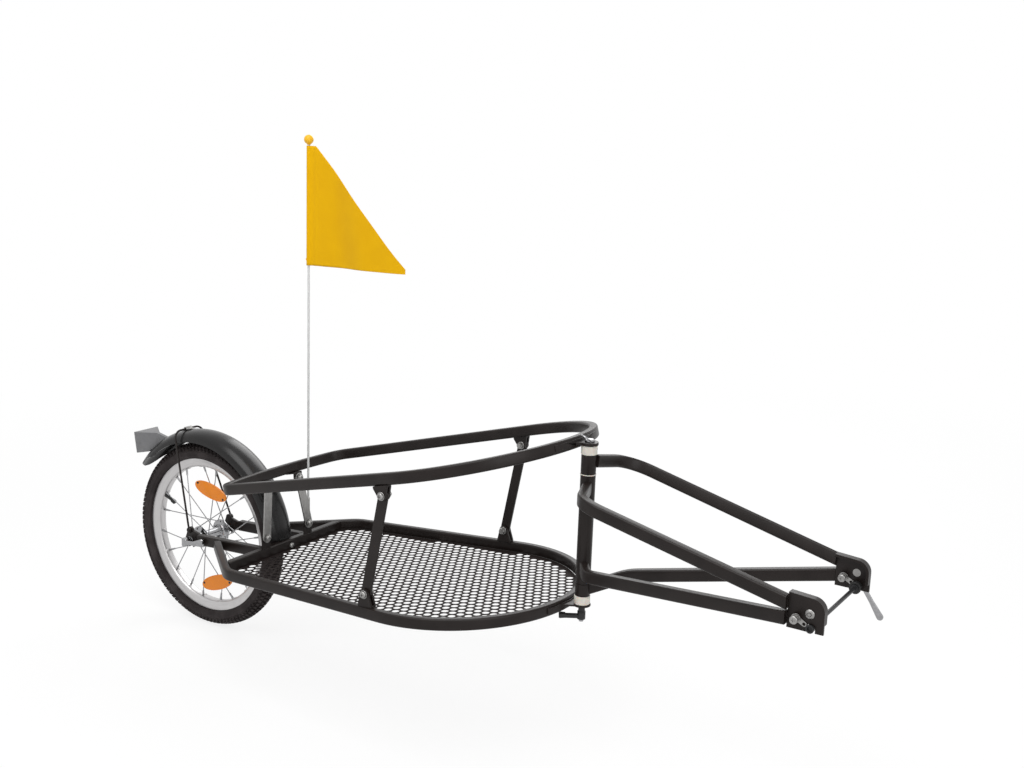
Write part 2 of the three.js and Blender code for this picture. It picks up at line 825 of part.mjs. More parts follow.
// Upper ring with the brackets welded under it
function upperRing() {
  const loop = tube(ringPath(), ringUp, { closed: true });
  const ventAngle = THREE.MathUtils.degToRad(ventDegrees);
  const ventAt = (radius) => ringPoint(ringNoseCentre + radius * Math.cos(ventAngle), radius * Math.sin(ventAngle))
    .addScaledVector(ringUp, -ventDrop);
  const vent = rod(ventAt(ringNoseRadius - tubeWall * 3), ventAt(ringNoseRadius + overrun), ventRadius);
  const drop = (ringUnderAt(strutTopX) - strutTopZ) * Math.cos(ringTilt);
  const footX = strutTopX - drop * Math.sin(ringTilt);
  const footZ = strutTopZ + drop * Math.cos(ringTilt);
  const clevises = clevis(footX, footZ, drop, ringTilt, true);
  return join(cut(loop, vent), clevises, ringBracket(1), ringBracket(-1));
}

// The angle under the ring's rear that a rear support is bolted to
function ringBracket(side) {
  const front = supportTopX - supportThickness / 2 - supportSlack;
  const back = front - supportTabThickness;
  const rear = ringRearX + tubeWidth / 2;
  const bottom = supportTopZ - supportWidth / 2;
  const rise = (x) => ringUnderAt(x) + weldDepth;
  const shape = new THREE.Shape();
  shape.moveTo(front, bottom);
  shape.lineTo(front, rise(front));
  shape.lineTo(rear, rise(rear));
  shape.lineTo(rear, rise(rear) - supportTabThickness);
  shape.lineTo(back, rise(back) - supportTabThickness);
  shape.lineTo(back, bottom);
  const half = supportTabWidth / 2;
  const angle = sidePlate(shape, side * supportTopY - half, side * supportTopY + half);
  const bore = rod(V(back - overrun, side * supportTopY, supportTopZ),
    V(front + overrun, side * supportTopY, supportTopZ), supportBoltRadius + seatGap);
  return cut(angle, bore);
}

function sideStrut() {
  const foot = V(strutFootX, -strutPlane, strutFootZ);
  const top = V(strutTopX, -strutPlane, strutTopZ);
  return flatBar(foot, top, across, strutWidth, strutThickness, strutBoltRadius + seatGap);
}

function strutBolt(x, z) {
  const bolt = screw({
    grip: clevisWidth, shank: strutBoltRadius, head: strutBoltHead, headHeight: strutBoltHeadHeight,
    washer: strutWasherRadius, nut: strutNutRadius, nutHeight: strutNutHeight,
  });
  return bolt.translate(x, -strutPlane - clevisWidth / 2, z);
}

function rearSupport() {
  const foot = V(supportFootX, -supportFootY, supportFootZ);
  const top = V(supportTopX, -supportTopY, supportTopZ);
  return flatBar(foot, top, V(1, 0, 0), supportWidth, supportThickness, supportBoltRadius + seatGap);
}

// A support's screw, its head towards the front
function supportBolt(x, y, z) {
  const grip = supportThickness + supportSlack * 2 + supportTabThickness;
  const bolt = screw({
    grip, shank: supportBoltRadius, head: supportBoltHead, headHeight: supportBoltHeadHeight,
    washer: supportWasherRadius, nut: supportNutRadius, nutHeight: supportNutHeight, hexHead: true,
  });
  return bolt.rotateZ(Math.PI / 2).translate(x + supportThickness / 2 + supportSlack, y, z);
}

add(chassis, 'deck_rail', deckRail(), coat);
add(chassis, 'rear_crossbar', rearCrossbar(), coat);
addPair(chassis, 'dropout_stay', dropoutStay(), coat);
add(chassis, 'deck_sheet', deckSheet(), coat);
add(chassis, 'upper_ring', upperRing(), coat);
addPair(chassis, 'side_strut', sideStrut(), coat);
addPair(chassis, 'strut_foot_bolt', strutBolt(strutFootX, strutFootZ), zinc);
addPair(chassis, 'strut_top_bolt', strutBolt(strutTopX, strutTopZ), zinc);
addPair(chassis, 'rear_support', rearSupport(), zinc);
addPair(chassis, 'support_foot_bolt', supportBolt(supportFootX, -supportFootY, supportFootZ), zinc);
addPair(chassis, 'support_top_bolt', supportBolt(supportTopX, -supportTopY, supportTopZ), zinc);

// Fender: its section runs from skirt to skirt, carried round the wheel
const fenderRadius = tyreRadius + fenderClearance;
const fenderAngle = (degrees) => THREE.MathUtils.degToRad(degrees);
const fenderPoint = (angle, radius) => V(
  fenderCentreX + radius * Math.cos(angle), 0, fenderCentreZ + radius * Math.sin(angle));

// The section's arch, as much of it as lies within a share of the half width
function fenderArch(halfWidth, depth, crown, widthShare) {
  const points = [];
  const start = Math.acos(widthShare);
  for (let k = 0; k <= sectionSteps; k += 1) {
    const angle = start + (Math.PI - 2 * start) * k / sectionSteps;
    const rise = Math.max(0, Math.sin(angle)) ** archShare;
    points.push([halfWidth * Math.cos(angle), crown - depth + depth * rise]);
  }
  return points;
}

function fenderSection(widthShare) {
  const outerLine = fenderArch(fenderHalfWidth, fenderDepth, 0, widthShare);
  const innerLine = fenderArch(fenderHalfWidth - fenderWall, fenderDepth - fenderWall, -fenderWall, widthShare);
  if (widthShare === 1) {
    innerLine[0][1] = outerLine[0][1];
    innerLine[innerLine.length - 1][1] = outerLine[0][1];
  }
  return [...outerLine, ...innerLine.reverse()];
}

function fender() {
  const stations = [];
  for (let k = 0; k <= fenderSteps; k += 1) {
    const share = k / fenderSteps;
    stations.push([fenderFrontDegrees + (fenderSideDegrees - fenderFrontDegrees) * share, 1]);
  }
  for (let k = 1; k <= fenderTailSteps; k += 1) {
    const turn = tongueShare * Math.PI / 2 * k / fenderTailSteps;
    const reach = Math.sin(turn) / Math.sin(tongueShare * Math.PI / 2);
    stations.push([fenderSideDegrees + (fenderRearDegrees - fenderSideDegrees) * reach, Math.cos(turn)]);
  }
  const path = stations.map(([degrees]) => fenderPoint(fenderAngle(degrees), fenderRadius));
  const shell = sweepRound(stations.map(([, widthShare]) => fenderSection(widthShare)), path);
  const tabFront = crossbarRear - seatGap;
  const tabRear = tabFront - fenderWall;
  const ledge = deckTop + seatGap;
  const crown = fenderCentreX + fenderRadius - fenderWall / 2;
  const tab = new THREE.Shape();
  tab.moveTo(tabRear, ledge - fenderTabDrop);
  tab.lineTo(tabFront, ledge - fenderTabDrop);
  tab.lineTo(tabFront, ledge);
  tab.lineTo(crown, ledge);
  tab.lineTo(crown, ledge + fenderWall * 2);
  tab.lineTo(tabRear, ledge + fenderWall);
  const half = fenderTabWidth / 2;
  const strap = sidePlate(tab, -half, half);
  const bore = rod(V(tabRear - overrun, fenderBoltY, fenderBoltZ), V(tabFront + overrun, fenderBoltY, fenderBoltZ),
    supportBoltRadius + seatGap);
  return join(shell, cut(strap, bore));
}

// Carries a section round the wheel, one for each place: its x is across and its y is away from the axle
function sweepRound(sections, path) {
  const centre = fenderPoint(0, 0);
  const faces = path.map((p) => p.clone().sub(centre).normalize());
  const positions = [];
  path.forEach((p, i) => sections[i].forEach(([x, y]) => {
    const q = p.clone().addScaledVector(faces[i], y).add(V(0, x, 0));
    positions.push(q.x, q.y, q.z);
  }));
  const count = sections[0].length;
  const index = [];
  for (let i = 0; i + 1 < path.length; i += 1) {
    for (let j = 0; j < count; j += 1) {
      const [a, b] = [i * count + j, i * count + (j + 1) % count];
      index.push(a, a + count, b, b, a + count, b + count);
    }
  }
  const close = (section, start, flip) => {
    const contour = section.map(([x, y]) => new THREE.Vector2(x, y));
    for (const face of THREE.ShapeUtils.triangulateShape(contour, [])) {
      const turn = THREE.ShapeUtils.area(face.map((k) => contour[k]));
      const [a, b, c] = (turn > 0) !== flip ? face : [face[0], face[2], face[1]];
      index.push(start + a, start + b, start + c);
    }
  };
  close(sections[0], 0, false);
  close(sections[path.length - 1], (path.length - 1) * count, true);
  const geometry = new THREE.BufferGeometry();
  geometry.setAttribute('position', new THREE.Float32BufferAttribute(positions, 3));
  geometry.setIndex(index);
  return geometry;
}

// Fender stay: one wire from eyelet to eyelet over the fender, with a bolted eye at each end
const wireCrown = (y) => {
  const lift = fenderRadius + stayWireRadius + seatGap;
  const dip = fenderDepth * (1 - Math.sqrt(Math.max(0, 1 - (y / (fenderHalfWidth + stayWireRadius)) ** 2)));
  return fenderPoint(fenderAngle(stayWireDegrees), lift - dip).setY(y);
};

function fenderStay() {
  const eyeY = hubLength / 2 + dropoutThickness + seatGap + stayEyeThickness / 2;
  const eye = (side) => V(0, side * eyeY, eyeletHeight);
  const shoulder = (side) => fenderPoint(fenderAngle(stayWireDegrees), fenderRadius - fenderDepth)
    .setY(side * stayWireSpread);
  const crown = (side) => fenderPoint(fenderAngle(stayWireDegrees), fenderRadius + stayWireRadius + seatGap)
    .setY(side * stayWireSpread);
  const bow = route([
    [eye(-1), 0],
    [shoulder(-1), stayWireBend * 3],
    [crown(-1), stayWireBend],
    [crown(1), stayWireBend],
    [shoulder(1), stayWireBend * 3],
    [eye(1), 0],
  ]);
  const up = bow[1].clone().sub(bow[0]).cross(across).normalize();
  const parts = [-1, 1].map((side) => {
    const seat = side * (hubLength / 2 + dropoutThickness + seatGap);
    const outside = seat + side * stayEyeThickness;
    const inside = side * (hubLength / 2 - seatGap);
    const disc = rod(V(0, seat, eyeletHeight), V(0, outside, eyeletHeight), stayEyeRadius, stayEyeRadius, 12);
    const pin = rod(V(0, inside, eyeletHeight), V(0, outside, eyeletHeight), eyeletBore - seatGap,
      eyeletBore - seatGap, 10);
    return join(disc, pin);
  });
  return join(wire(bow, stayWireRadius, up), ...parts);
}

function fenderClip() {
  const angle = fenderAngle(stayWireDegrees);
  const height = stayWireRadius * 2 + seatGap * 2 + clipThickness;
  const half = clipWidth / 2;
  const saddle = new THREE.Shape();
  const bump = stayWireRadius + seatGap + clipThickness;
  saddle.moveTo(-clipLength / 2, 0);
  saddle.lineTo(clipLength / 2, 0);
  saddle.lineTo(clipLength / 2, clipThickness);
  saddle.lineTo(bump, clipThickness);
  saddle.lineTo(bump * 0.7, height);
  saddle.lineTo(-bump * 0.7, height);
  saddle.lineTo(-bump, clipThickness);
  saddle.lineTo(-clipLength / 2, clipThickness);
  const strap = sidePlate(saddle, -half, half);
  const groove = rod(V(0, -clipWidth, stayWireRadius + seatGap), V(0, clipWidth, stayWireRadius + seatGap),
    stayWireRadius + seatGap, stayWireRadius + seatGap, 12);
  const passage = block(-stayWireRadius - seatGap, stayWireRadius + seatGap, -clipWidth, clipWidth,
    -overrun, stayWireRadius + seatGap);
  const clip = cut(strap, groove, passage);
  const seat = fenderPoint(angle, fenderRadius + seatGap);
  return clip.rotateY(Math.PI / 2 - angle).translate(seat.x, 0, seat.z);
}

function fenderBolt() {
  const grip = tubeWidth + seatGap + fenderWall;
  const bolt = screw({
    grip, shank: supportBoltRadius, head: fenderBoltHead, headHeight: fenderBoltHeadHeight,
    washer: fenderBoltHead + seatGap, nut: supportNutRadius, nutHeight: fenderBoltHeadHeight / 2,
  });
  return bolt.rotateZ(Math.PI / 2).translate(crossbarFront, fenderBoltY, fenderBoltZ);
}

// Rear reflector housing: a lens face, and a back that narrows like a prism to its foot on the fender
function rearReflector() {
  const leaning = THREE.MathUtils.degToRad(reflectorLeanDegrees);
  const down = V(Math.sin(leaning), 0, -Math.cos(leaning));
  const inward = V(Math.cos(leaning), 0, Math.sin(leaning));
  const top = fenderPoint(fenderAngle(reflectorDegrees), fenderRadius + reflectorStandoff);
  const middle = top.clone().addScaledVector(down, reflectorHeight / 2);
  const depth = fenderSeatDepth(middle, inward);
  const half = reflectorWidth / 2;
  const foot = reflectorFoot / 2;
  const plan = new THREE.Shape();
  plan.moveTo(0, -half);
  plan.lineTo(reflectorRim, -half);
  plan.lineTo(reflectorDepth, -foot);
  plan.lineTo(depth, -foot);
  plan.lineTo(depth, foot);
  plan.lineTo(reflectorDepth, foot);
  plan.lineTo(reflectorRim, half);
  plan.lineTo(0, half);
  const prism = levelPlate(plan, -reflectorHeight / 2, reflectorHeight / 2);
  const bottom = -reflectorHeight / 2;
  const side = new THREE.Shape();
  side.moveTo(0, bottom);
  side.lineTo(depth, bottom);
  side.lineTo(depth, bottom + reflectorFootHeight);
  side.lineTo(reflectorDepth, bottom + reflectorApexHeight);
  side.lineTo(reflectorRim, -bottom);
  side.lineTo(0, -bottom);
  const housing = keep(prism, sidePlate(side, -half, half));
  const basis = new THREE.Matrix4().makeBasis(inward, across, inward.clone().cross(across));
  housing.applyMatrix4(basis).translate(middle.x, middle.y, middle.z);
  const outer = rod(fenderPoint(0, 0).setY(-reflectorWidth), fenderPoint(0, 0).setY(reflectorWidth),
    fenderRadius + seatGap, fenderRadius + seatGap, wheelSteps * 2);
  return cut(housing, outer);
}

// How far the line from a point in a direction runs before it is inside the fender's crown
function fenderSeatDepth(from, direction) {
  const toCentre = fenderPoint(0, 0).sub(from);
  const along = toCentre.dot(direction);
  const offset = Math.sqrt(toCentre.lengthSq() - along * along);
  return along - Math.sqrt(fenderRadius ** 2 - offset ** 2) + overrun * 2;
}

// Socket on the crossbar that the pole stands in
function poleSocket() {
  const bore = poleRadius + seatGap;
  const socket = turnedUpright([
    [bore, -tubeHeight / 2], [poleSocketRadius, -tubeHeight / 2], [poleSocketRadius, poleSocketHeight * 0.85],
    [poleSocketRadius * 0.8, poleSocketHeight], [bore, poleSocketHeight], [bore, -tubeHeight / 2],
  ], 0, 0, 16);
  socket.rotateY(lean).translate(poleX, -0, deckTop);
  socket.translate(0, poleY, 0);
  const below = block(poleX - tubeHeight, poleX + tubeHeight, poleY - tubeHeight, poleY + tubeHeight,
    deckTop - tubeHeight, deckTop + seatGap);
  return cut(socket, below);
}

add(chassis, 'fender', fender(), rubber);
add(chassis, 'fender_stay', fenderStay(), coat);
add(chassis, 'fender_clip', fenderClip(), zinc);
add(chassis, 'fender_bolt', fenderBolt(), zinc);
add(chassis, 'rear_reflector', rearReflector(), greyPlastic);
add(chassis, 'pole_socket', poleSocket(), darkPlastic);

// Flag, upright above its socket
const poleFoot = V(poleX, poleY, deckTop).applyAxisAngle(across, -lean).add(V(0, 0, tyreRadius));
const flagTop = flagBottom + flagHeight;
const poleTop = flagTop + poleAboveFlag;

function flagPole() {
  const bottom = poleFoot.z + seatGap * 2 + poleRadius * Math.tan(lean);
  return rod(V(poleFoot.x, poleY, bottom), V(poleFoot.x, poleY, poleTop), poleRadius, poleRadius, 12);
}

function poleFerrule() {
  const bore = poleRadius + seatGap;
  const chamfer = ferruleRadius - bore;
  return turnedUpright([
    [bore, ferruleBottom], [ferruleRadius, ferruleBottom], [ferruleRadius, ferruleTop - chamfer],
    [bore + chamfer / 2, ferruleTop], [bore, ferruleTop], [bore, ferruleBottom],
  ], poleFoot.x, poleY, 14);
}

function poleFinial() {
  const ball = new THREE.SphereGeometry(finialRadius, 14, 9).rotateX(Math.PI / 2);
  ball.translate(poleFoot.x, poleY, poleTop + finialRadius / 2);
  const pole = rod(V(poleFoot.x, poleY, flagTop), V(poleFoot.x, poleY, poleTop + seatGap),
    poleRadius + seatGap, poleRadius + seatGap, 12);
  return cut(ball, pole);
}

// A right triangle of cloth with a sleeve round the pole, gently waved across its length
function flag() {
  const steps = 14;
  const half = flagThickness / 2;
  const front = [];
  const back = [];
  for (let k = 0; k <= steps; k += 1) {
    const share = k / steps;
    const x = sleeveRadius / 2 + (flagLength - sleeveRadius / 2) * share;
    const y = flagWave * Math.sin(share * Math.PI * 2) * share;
    front.push(new THREE.Vector2(x, y - half));
    back.unshift(new THREE.Vector2(x, y + half));
  }
  const band = levelPlate(new THREE.Shape([...front, ...back]), flagBottom, flagTop);
  const triangle = new THREE.Shape();
  triangle.moveTo(-finialRadius, flagBottom);
  triangle.lineTo(flagLength, flagBottom + flagTipHeight / 2);
  triangle.lineTo(flagLength, flagBottom + flagTipHeight * 1.5);
  triangle.lineTo(flagFlatTop, flagTop);
  triangle.lineTo(-finialRadius, flagTop);
  const cloth = keep(band, sidePlate(triangle, -flagWave * 3, flagWave * 3));
  const sleeve = turnedUpright([[0, flagBottom], [sleeveRadius, flagBottom], [sleeveRadius, flagTop],
    [0, flagTop]], 0, 0, 14);
  const pole = rod(V(0, 0, flagBottom - overrun), V(0, 0, flagTop + overrun), poleRadius + seatGap,
    poleRadius + seatGap, 14);
  return cut(join(cloth, sleeve), pole).translate(poleFoot.x, poleY, 0);
}

add(trailer, 'flag_pole', flagPole(), white);
add(trailer, 'pole_ferrule', poleFerrule(), zinc);
add(trailer, 'pole_finial', poleFinial(), warmYellow);
add(trailer, 'flag', flag(), yellow);

// Head: a lug on each nose, drawn level: an eye round the pin, and wings riveted along the nose
function lug(top, depth, nose) {
  const outline = (inset) => {
    const radius = lugRadius - inset;
    const tail = headX - lugReach;
    const slope = Math.atan2(lugSpan - lugRadius, lugReach);
    const shape = new THREE.Shape();
    shape.absarc(headX, 0, radius, -Math.PI / 2 - slope, Math.PI / 2 + slope, false);
    shape.lineTo(tail, lugSpan - inset);
    shape.lineTo(tail, inset - lugSpan);
    return shape;
  };
  const body = levelPlate(outline(0), top - depth, top);
  const hollow = levelPlate(outline(lugWall), top - depth - overrun, top - Math.min(lugWall, depth));
  const bore = rod(V(headX, 0, top - depth - overrun), V(headX, 0, top + overrun), swivelPinRadius + seatGap);
  const eye = depth > lugWall * 2 - seatGap ? cut(body, hollow, bore) : cut(body, bore);
  return join(cut(toDeck(eye), nosePlate(nose, seatGap, -tubeHeight * 2, tubeHeight)), wing(nose));
}

// A level plate of the nose's own outline grown by extra, between two heights over the nose's level
function nosePlate({ centre, up, radius, side }, extra, z0, z1) {
  const outline = arc(0, radius + extra, -Math.PI / 2 - side, Math.PI / 2 + side, noseSteps);
  const plate = levelPlate(new THREE.Shape(outline.map(([x, y]) => new THREE.Vector2(x, y))), z0, z1);
  const ahead = across.clone().cross(up);
  return plate.applyMatrix4(new THREE.Matrix4().makeBasis(ahead, across, up)).translate(centre.x, 0, centre.z);
}

// The strip along the nose's outer face that the lug is riveted by
function wing(nose) {
  const middle = -tubeHeight / 2;
  const [bottom, top] = [middle - wingHeight / 2, middle + wingHeight / 2];
  const half = nose.radius * Math.sin(THREE.MathUtils.degToRad(nose.degrees));
  const front = nose.centre.x + nose.radius + tubeHeight;
  const band = cut(nosePlate(nose, seatGap + lugWall, bottom, top), nosePlate(nose, seatGap, bottom - overrun, top + overrun));
  return keep(band, block(nose.centre.x, front, -half, half, nose.centre.z - tubeHeight, nose.centre.z + nose.radius));
}

// Heights of the head's pieces, from the middles of the two noses
const upright = (x, z) => V(x, 0, z).applyAxisAngle(across, -lean).z + tyreRadius;
const ringNoseMiddle = upright(ringNoseX + tubeHeight / 2 * Math.sin(ringTilt),
  ringNoseTop - tubeHeight / 2 * Math.cos(ringTilt));
const topLugTop = ringNoseMiddle + topLugRise;
const topSpacerTop = topLugTop - lugDepth - seatGap;
const upperSleeveTop = topSpacerTop - topSpacerHeight - seatGap;
const upperSleeveBottom = upperSleeveTop - upperSleeveHeight;
const headTubeTop = upperSleeveBottom - seatGap * 2 - hingeWasherThickness;
const bottomLugTop = upright(deckNoseX, deckTop - tubeHeight / 2) + bottomLugRise;
const bottomLugBottom = bottomLugTop - bottomLugDepth;
const bottomSpacerBottom = bottomLugTop + seatGap;
const lowerSleeveBottom = bottomSpacerBottom + bottomSpacerHeight + seatGap;
const lowerSleeveTop = lowerSleeveBottom + lowerSleeveHeight;
const headTubeBottom = lowerSleeveTop + seatGap * 2;
const swivelScrewTop = bottomLugBottom - swivelScrewDrop;
const swivelPinEnd = bottomLugBottom - swivelPinDrop;
const clampHubBottom = bottomLugBottom - clampHubDrop;

// The two noses, each with the angle that its lug's wings reach
const deckNose = {
  centre: V(deckNoseCentre, 0, deckTop), up: V(0, 0, 1), radius: deckNoseRadius, side: deckSide,
  degrees: bottomWingDegrees,
};
const ringNose = {
  centre: ringPoint(ringNoseCentre, 0), up: ringUp, radius: ringNoseRadius, side: ringSide,
  degrees: topWingDegrees,
};

add(chassis, 'top_lug', lug(topLugTop, lugDepth, ringNose), coat);
add(chassis, 'bottom_lug', lug(bottomLugTop, bottomLugDepth, deckNose), coat);

function swivelPin() {
  const seat = topLugTop + seatGap;
  return turnedUpright([
    [0, swivelPinEnd], [swivelScrewRadius, swivelPinEnd], [swivelScrewRadius, swivelScrewTop],
    [swivelPinRadius, swivelScrewTop], [swivelPinRadius, seat], [swivelPinHead, seat], [swivelPinHead, seat + swivelPinHeadHeight * 0.7],
    [swivelPinHead * 0.8, seat + swivelPinHeadHeight], [0, seat + swivelPinHeadHeight],
  ], headX, 0);
}

// The wire loop that the pin is pulled out by, hooked round its head
function pinBail() {
  const half = swivelPinHead + seatGap + bailWire;
  const loop = route([
    [V(0, -half, 0), 0],
    [V(bailLength, -half, 0), half * 0.9],
    [V(bailLength, half, 0), half * 0.9],
    [V(0, half, 0), 0],
  ]);
  const bail = wire(loop, bailWire, V(0, 0, 1));
  bail.rotateY(-THREE.MathUtils.degToRad(bailLiftDegrees)).rotateZ(THREE.MathUtils.degToRad(bailAzimuthDegrees));
  const height = topLugTop + seatGap + bailWire * 1.8;
  return bail.translate(headX, 0, height);
}

// The plastic lever that is screwed up from below
function clampLever() {
  const bore = swivelScrewRadius + seatGap * 2;
  const hubTop = clampHubBottom + clampHubHeight;
  const neckTop = hubTop + clampNeckHeight;
  const hub = turnedUpright([
    [bore, clampHubBottom], [clampHubRadius, clampHubBottom], [clampHubRadius, hubTop], [clampNeckRadius, hubTop],
    [clampNeckRadius, neckTop], [bore, neckTop], [bore, clampHubBottom],
  ], 0, 0);
  const base = clampHubBottom + clampArmLift;
  const top = base + clampArmHeight;
  const padStart = clampArmLength - clampPadLength;
  const shape = new THREE.Shape();
  shape.moveTo(0, base);
  shape.lineTo(clampArmLength - clampPadRise, base);
  shape.lineTo(clampArmLength, base + clampPadRise);
  shape.lineTo(clampArmLength, top);
  shape.lineTo(padStart, top);
  shape.lineTo(padStart, top - clampPadRise);
  shape.lineTo(0, top - clampPadRise);
  const arm = sidePlate(shape, -clampPadWidth / 2, clampPadWidth / 2);
  const plan = new THREE.Shape();
  const half = clampArmWidth / 2;
  plan.moveTo(0, -half);
  plan.lineTo(padStart, -half);
  plan.lineTo(clampArmLength, -clampPadWidth / 2);
  plan.lineTo(clampArmLength, clampPadWidth / 2);
  plan.lineTo(padStart, half);
  plan.lineTo(0, half);
  const flared = keep(arm, levelPlate(plan, base - overrun, top + overrun));
  const passage = rod(V(0, 0, clampHubBottom - overrun), V(0, 0, neckTop + overrun), bore);
  const lever = cut(join(hub, flared), passage);
  return lever.rotateZ(THREE.MathUtils.degToRad(clampAzimuthDegrees)).translate(headX, 0, 0);
}

function spacer(flangeBottom, flangeTop, spigotBottom, spigotTop) {
  const bore = swivelPinRadius + seatGap;
  const spigot = headTubeRadius - headTubeWall - seatGap;
  const above = flangeTop < spigotTop;
  const profile = above
    ? [[bore, flangeBottom], [spacerRadius, flangeBottom], [spacerRadius, flangeTop], [spigot, flangeTop],
      [spigot, spigotTop], [bore, spigotTop], [bore, flangeBottom]]
    : [[bore, spigotBottom], [spigot, spigotBottom], [spigot, flangeBottom], [spacerRadius, flangeBottom],
      [spacerRadius, flangeTop], [bore, flangeTop], [bore, spigotBottom]];
  return turnedUpright(profile, headX, 0, headSteps);
}

function sleeve(bottom, top) {
  const bore = headTubeRadius - headTubeWall;
  return turnedUpright([[bore, bottom], [headTubeRadius, bottom], [headTubeRadius, top], [bore, top],
    [bore, bottom]], headX, 0, headSteps);
}

add(trailer, 'swivel_pin', swivelPin(), chrome);
add(trailer, 'pin_bail', pinBail(), chrome);
add(trailer, 'clamp_lever', clampLever(), darkPlastic);
add(trailer, 'top_spacer', spacer(upperSleeveTop + seatGap, topSpacerTop,
  upperSleeveTop - spacerSpigot, upperSleeveTop), nylon);
add(trailer, 'bottom_spacer', spacer(bottomSpacerBottom, lowerSleeveBottom - seatGap,
  lowerSleeveBottom, lowerSleeveBottom + spacerSpigot), nylon);
add(trailer, 'head_tube', sleeve(headTubeBottom, headTubeTop), coat);
add(trailer, 'upper_sleeve', sleeve(upperSleeveBottom, upperSleeveTop), coat);
add(trailer, 'lower_sleeve', sleeve(lowerSleeveBottom, lowerSleeveTop), coat);
add(trailer, 'hinge_washer', turnedUpright([
  [swivelPinRadius + seatGap, headTubeTop + seatGap], [headTubeRadius + weldDepth, headTubeTop + seatGap],
  [headTubeRadius + weldDepth, headTubeTop + seatGap + hingeWasherThickness],
  [swivelPinRadius + seatGap, headTubeTop + seatGap + hingeWasherThickness],
  [swivelPinRadius + seatGap, headTubeTop + seatGap],
], headX, 0, headSteps), nylon);

// Yoke arms, drawn for the right side; each is coped round the tube that it is welded to
const yokeEndX = hitchX - plateRear;
const yokeRear = yokeEndX - seatGap;
const coping = () => rod(V(headX, 0, 0), V(headX, 0, hitchHeight * 2), headTubeRadius + seatGap,
  headTubeRadius + seatGap, headSteps);

// Roots and bends are places from the head axis and a level of the head, on the outer top edge
function arm(level, root, bend, bendRadius, endY, endRise) {
  const place = ([x, y, z]) => V(headX + x, -y, level + z);
  const path = route([
    [place(root), 0],
    [place(bend), bendRadius],
    [V(yokeRear, -endY, hitchHeight + endRise), 0],
  ]);
  return cut(tube(path, V(0, 0, 1), { endFace: V(1, 0, 0) }, armHeight), coping());
}

function upperArm(level, root, bend) {
  return arm(level, root, bend, upperBendRadius, upperEndY, upperEndRise);
}

function lowerArm(root, bend, bendRadius) {
  return arm(lowerSleeveTop, root, bend, bendRadius, lowerEndY, lowerEndRise);
}

add(trailer, 'upper_arm_right', upperArm(headTubeTop, rightUpperRoot, rightUpperBend), coat);
add(trailer, 'upper_arm_left', mirrored(upperArm(upperSleeveTop, leftUpperRoot, leftUpperBend)), coat);
add(trailer, 'lower_arm_right', lowerArm(rightLowerRoot, rightLowerBend, rightLowerBendRadius), coat);
add(trailer, 'lower_arm_left', mirrored(lowerArm(leftLowerRoot, leftLowerBend, leftLowerBendRadius)), coat);

// Hitch plate: a pressed hook with a flange round its top and nose
const plateTopZ = hitchHeight + plateRise;
const plateNoseTopZ = hitchHeight + plateNoseRise;
const plateBottomZ = hitchHeight - plateDrop;
const plateFrontX = hitchX + plateAhead;
const latchPivotX = hitchX - latchPivotSetback;
const latchPivotZ = hitchHeight + latchPivotRise;

function plateShape(inset) {
  const shape = new THREE.Shape();
  const top = plateTopZ - inset;
  const front = plateFrontX - inset;
  const cornerX = plateFrontX - plateNoseRadius;
  const cornerZ = plateNoseTopZ - plateNoseRadius;
  shape.moveTo(yokeEndX, plateBottomZ);
  shape.lineTo(yokeEndX, top);
  shape.absarc(cornerX, cornerZ, plateNoseRadius - inset, Math.PI / 2, 0, true);
  shape.lineTo(front, plateBottomZ);
  return shape;
}

function hitchPlate() {
  const body = sidePlate(plateShape(0), -plateOuterY, plateFlange - plateOuterY);
  const pocket = sidePlate(plateShape(plateFlangeWall), plateThickness - plateOuterY,
    plateFlange - plateOuterY + overrun);
  pocket.translate(-weldDepth * 2, 0, -weldDepth * 2);
  const low = block(yokeEndX - overrun, plateFrontX + overrun, plateThickness - plateOuterY,
    plateFlange - plateOuterY + overrun, plateBottomZ - overrun, hitchHeight + slotRadius);
  const slot = rod(V(hitchX, -plateOuterY - overrun, hitchHeight), V(hitchX, -plateOuterY + plateFlange + overrun,
    hitchHeight), slotRadius);
  const way = block(hitchX - slotRadius, hitchX + slotRadius, -plateOuterY - overrun,
    -plateOuterY + plateFlange + overrun, plateBottomZ - overrun, hitchHeight);
  const bore = rod(V(latchPivotX, -plateOuterY - overrun, latchPivotZ), V(latchPivotX, plateThickness - plateOuterY
    + overrun, latchPivotZ), latchBoltRadius + seatGap);
  const rivet = turned([
    [0, -plateRivetHeight * 3], [plateRivetRadius / 2, -plateRivetHeight * 3],
    [plateRivetRadius * rivetShare, -plateRivetHeight], [plateRivetRadius, -plateRivetHeight],
    [plateRivetRadius, weldDepth], [0, weldDepth],
  ], screwSteps).translate(hitchX - plateRivetSetback, -plateOuterY, hitchHeight + plateRivetRise);
  return join(cut(body, pocket, low, slot, way, bore), rivet);
}

function hitchLatch() {
  const face = -plateOuterY - seatGap - latchThickness / 2;
  return flatBar(V(latchPivotX, face, latchPivotZ), V(hitchX - latchTipSetback, face, hitchHeight + latchTipRise), across, latchWidth,
    latchThickness, latchBoltRadius + seatGap);
}

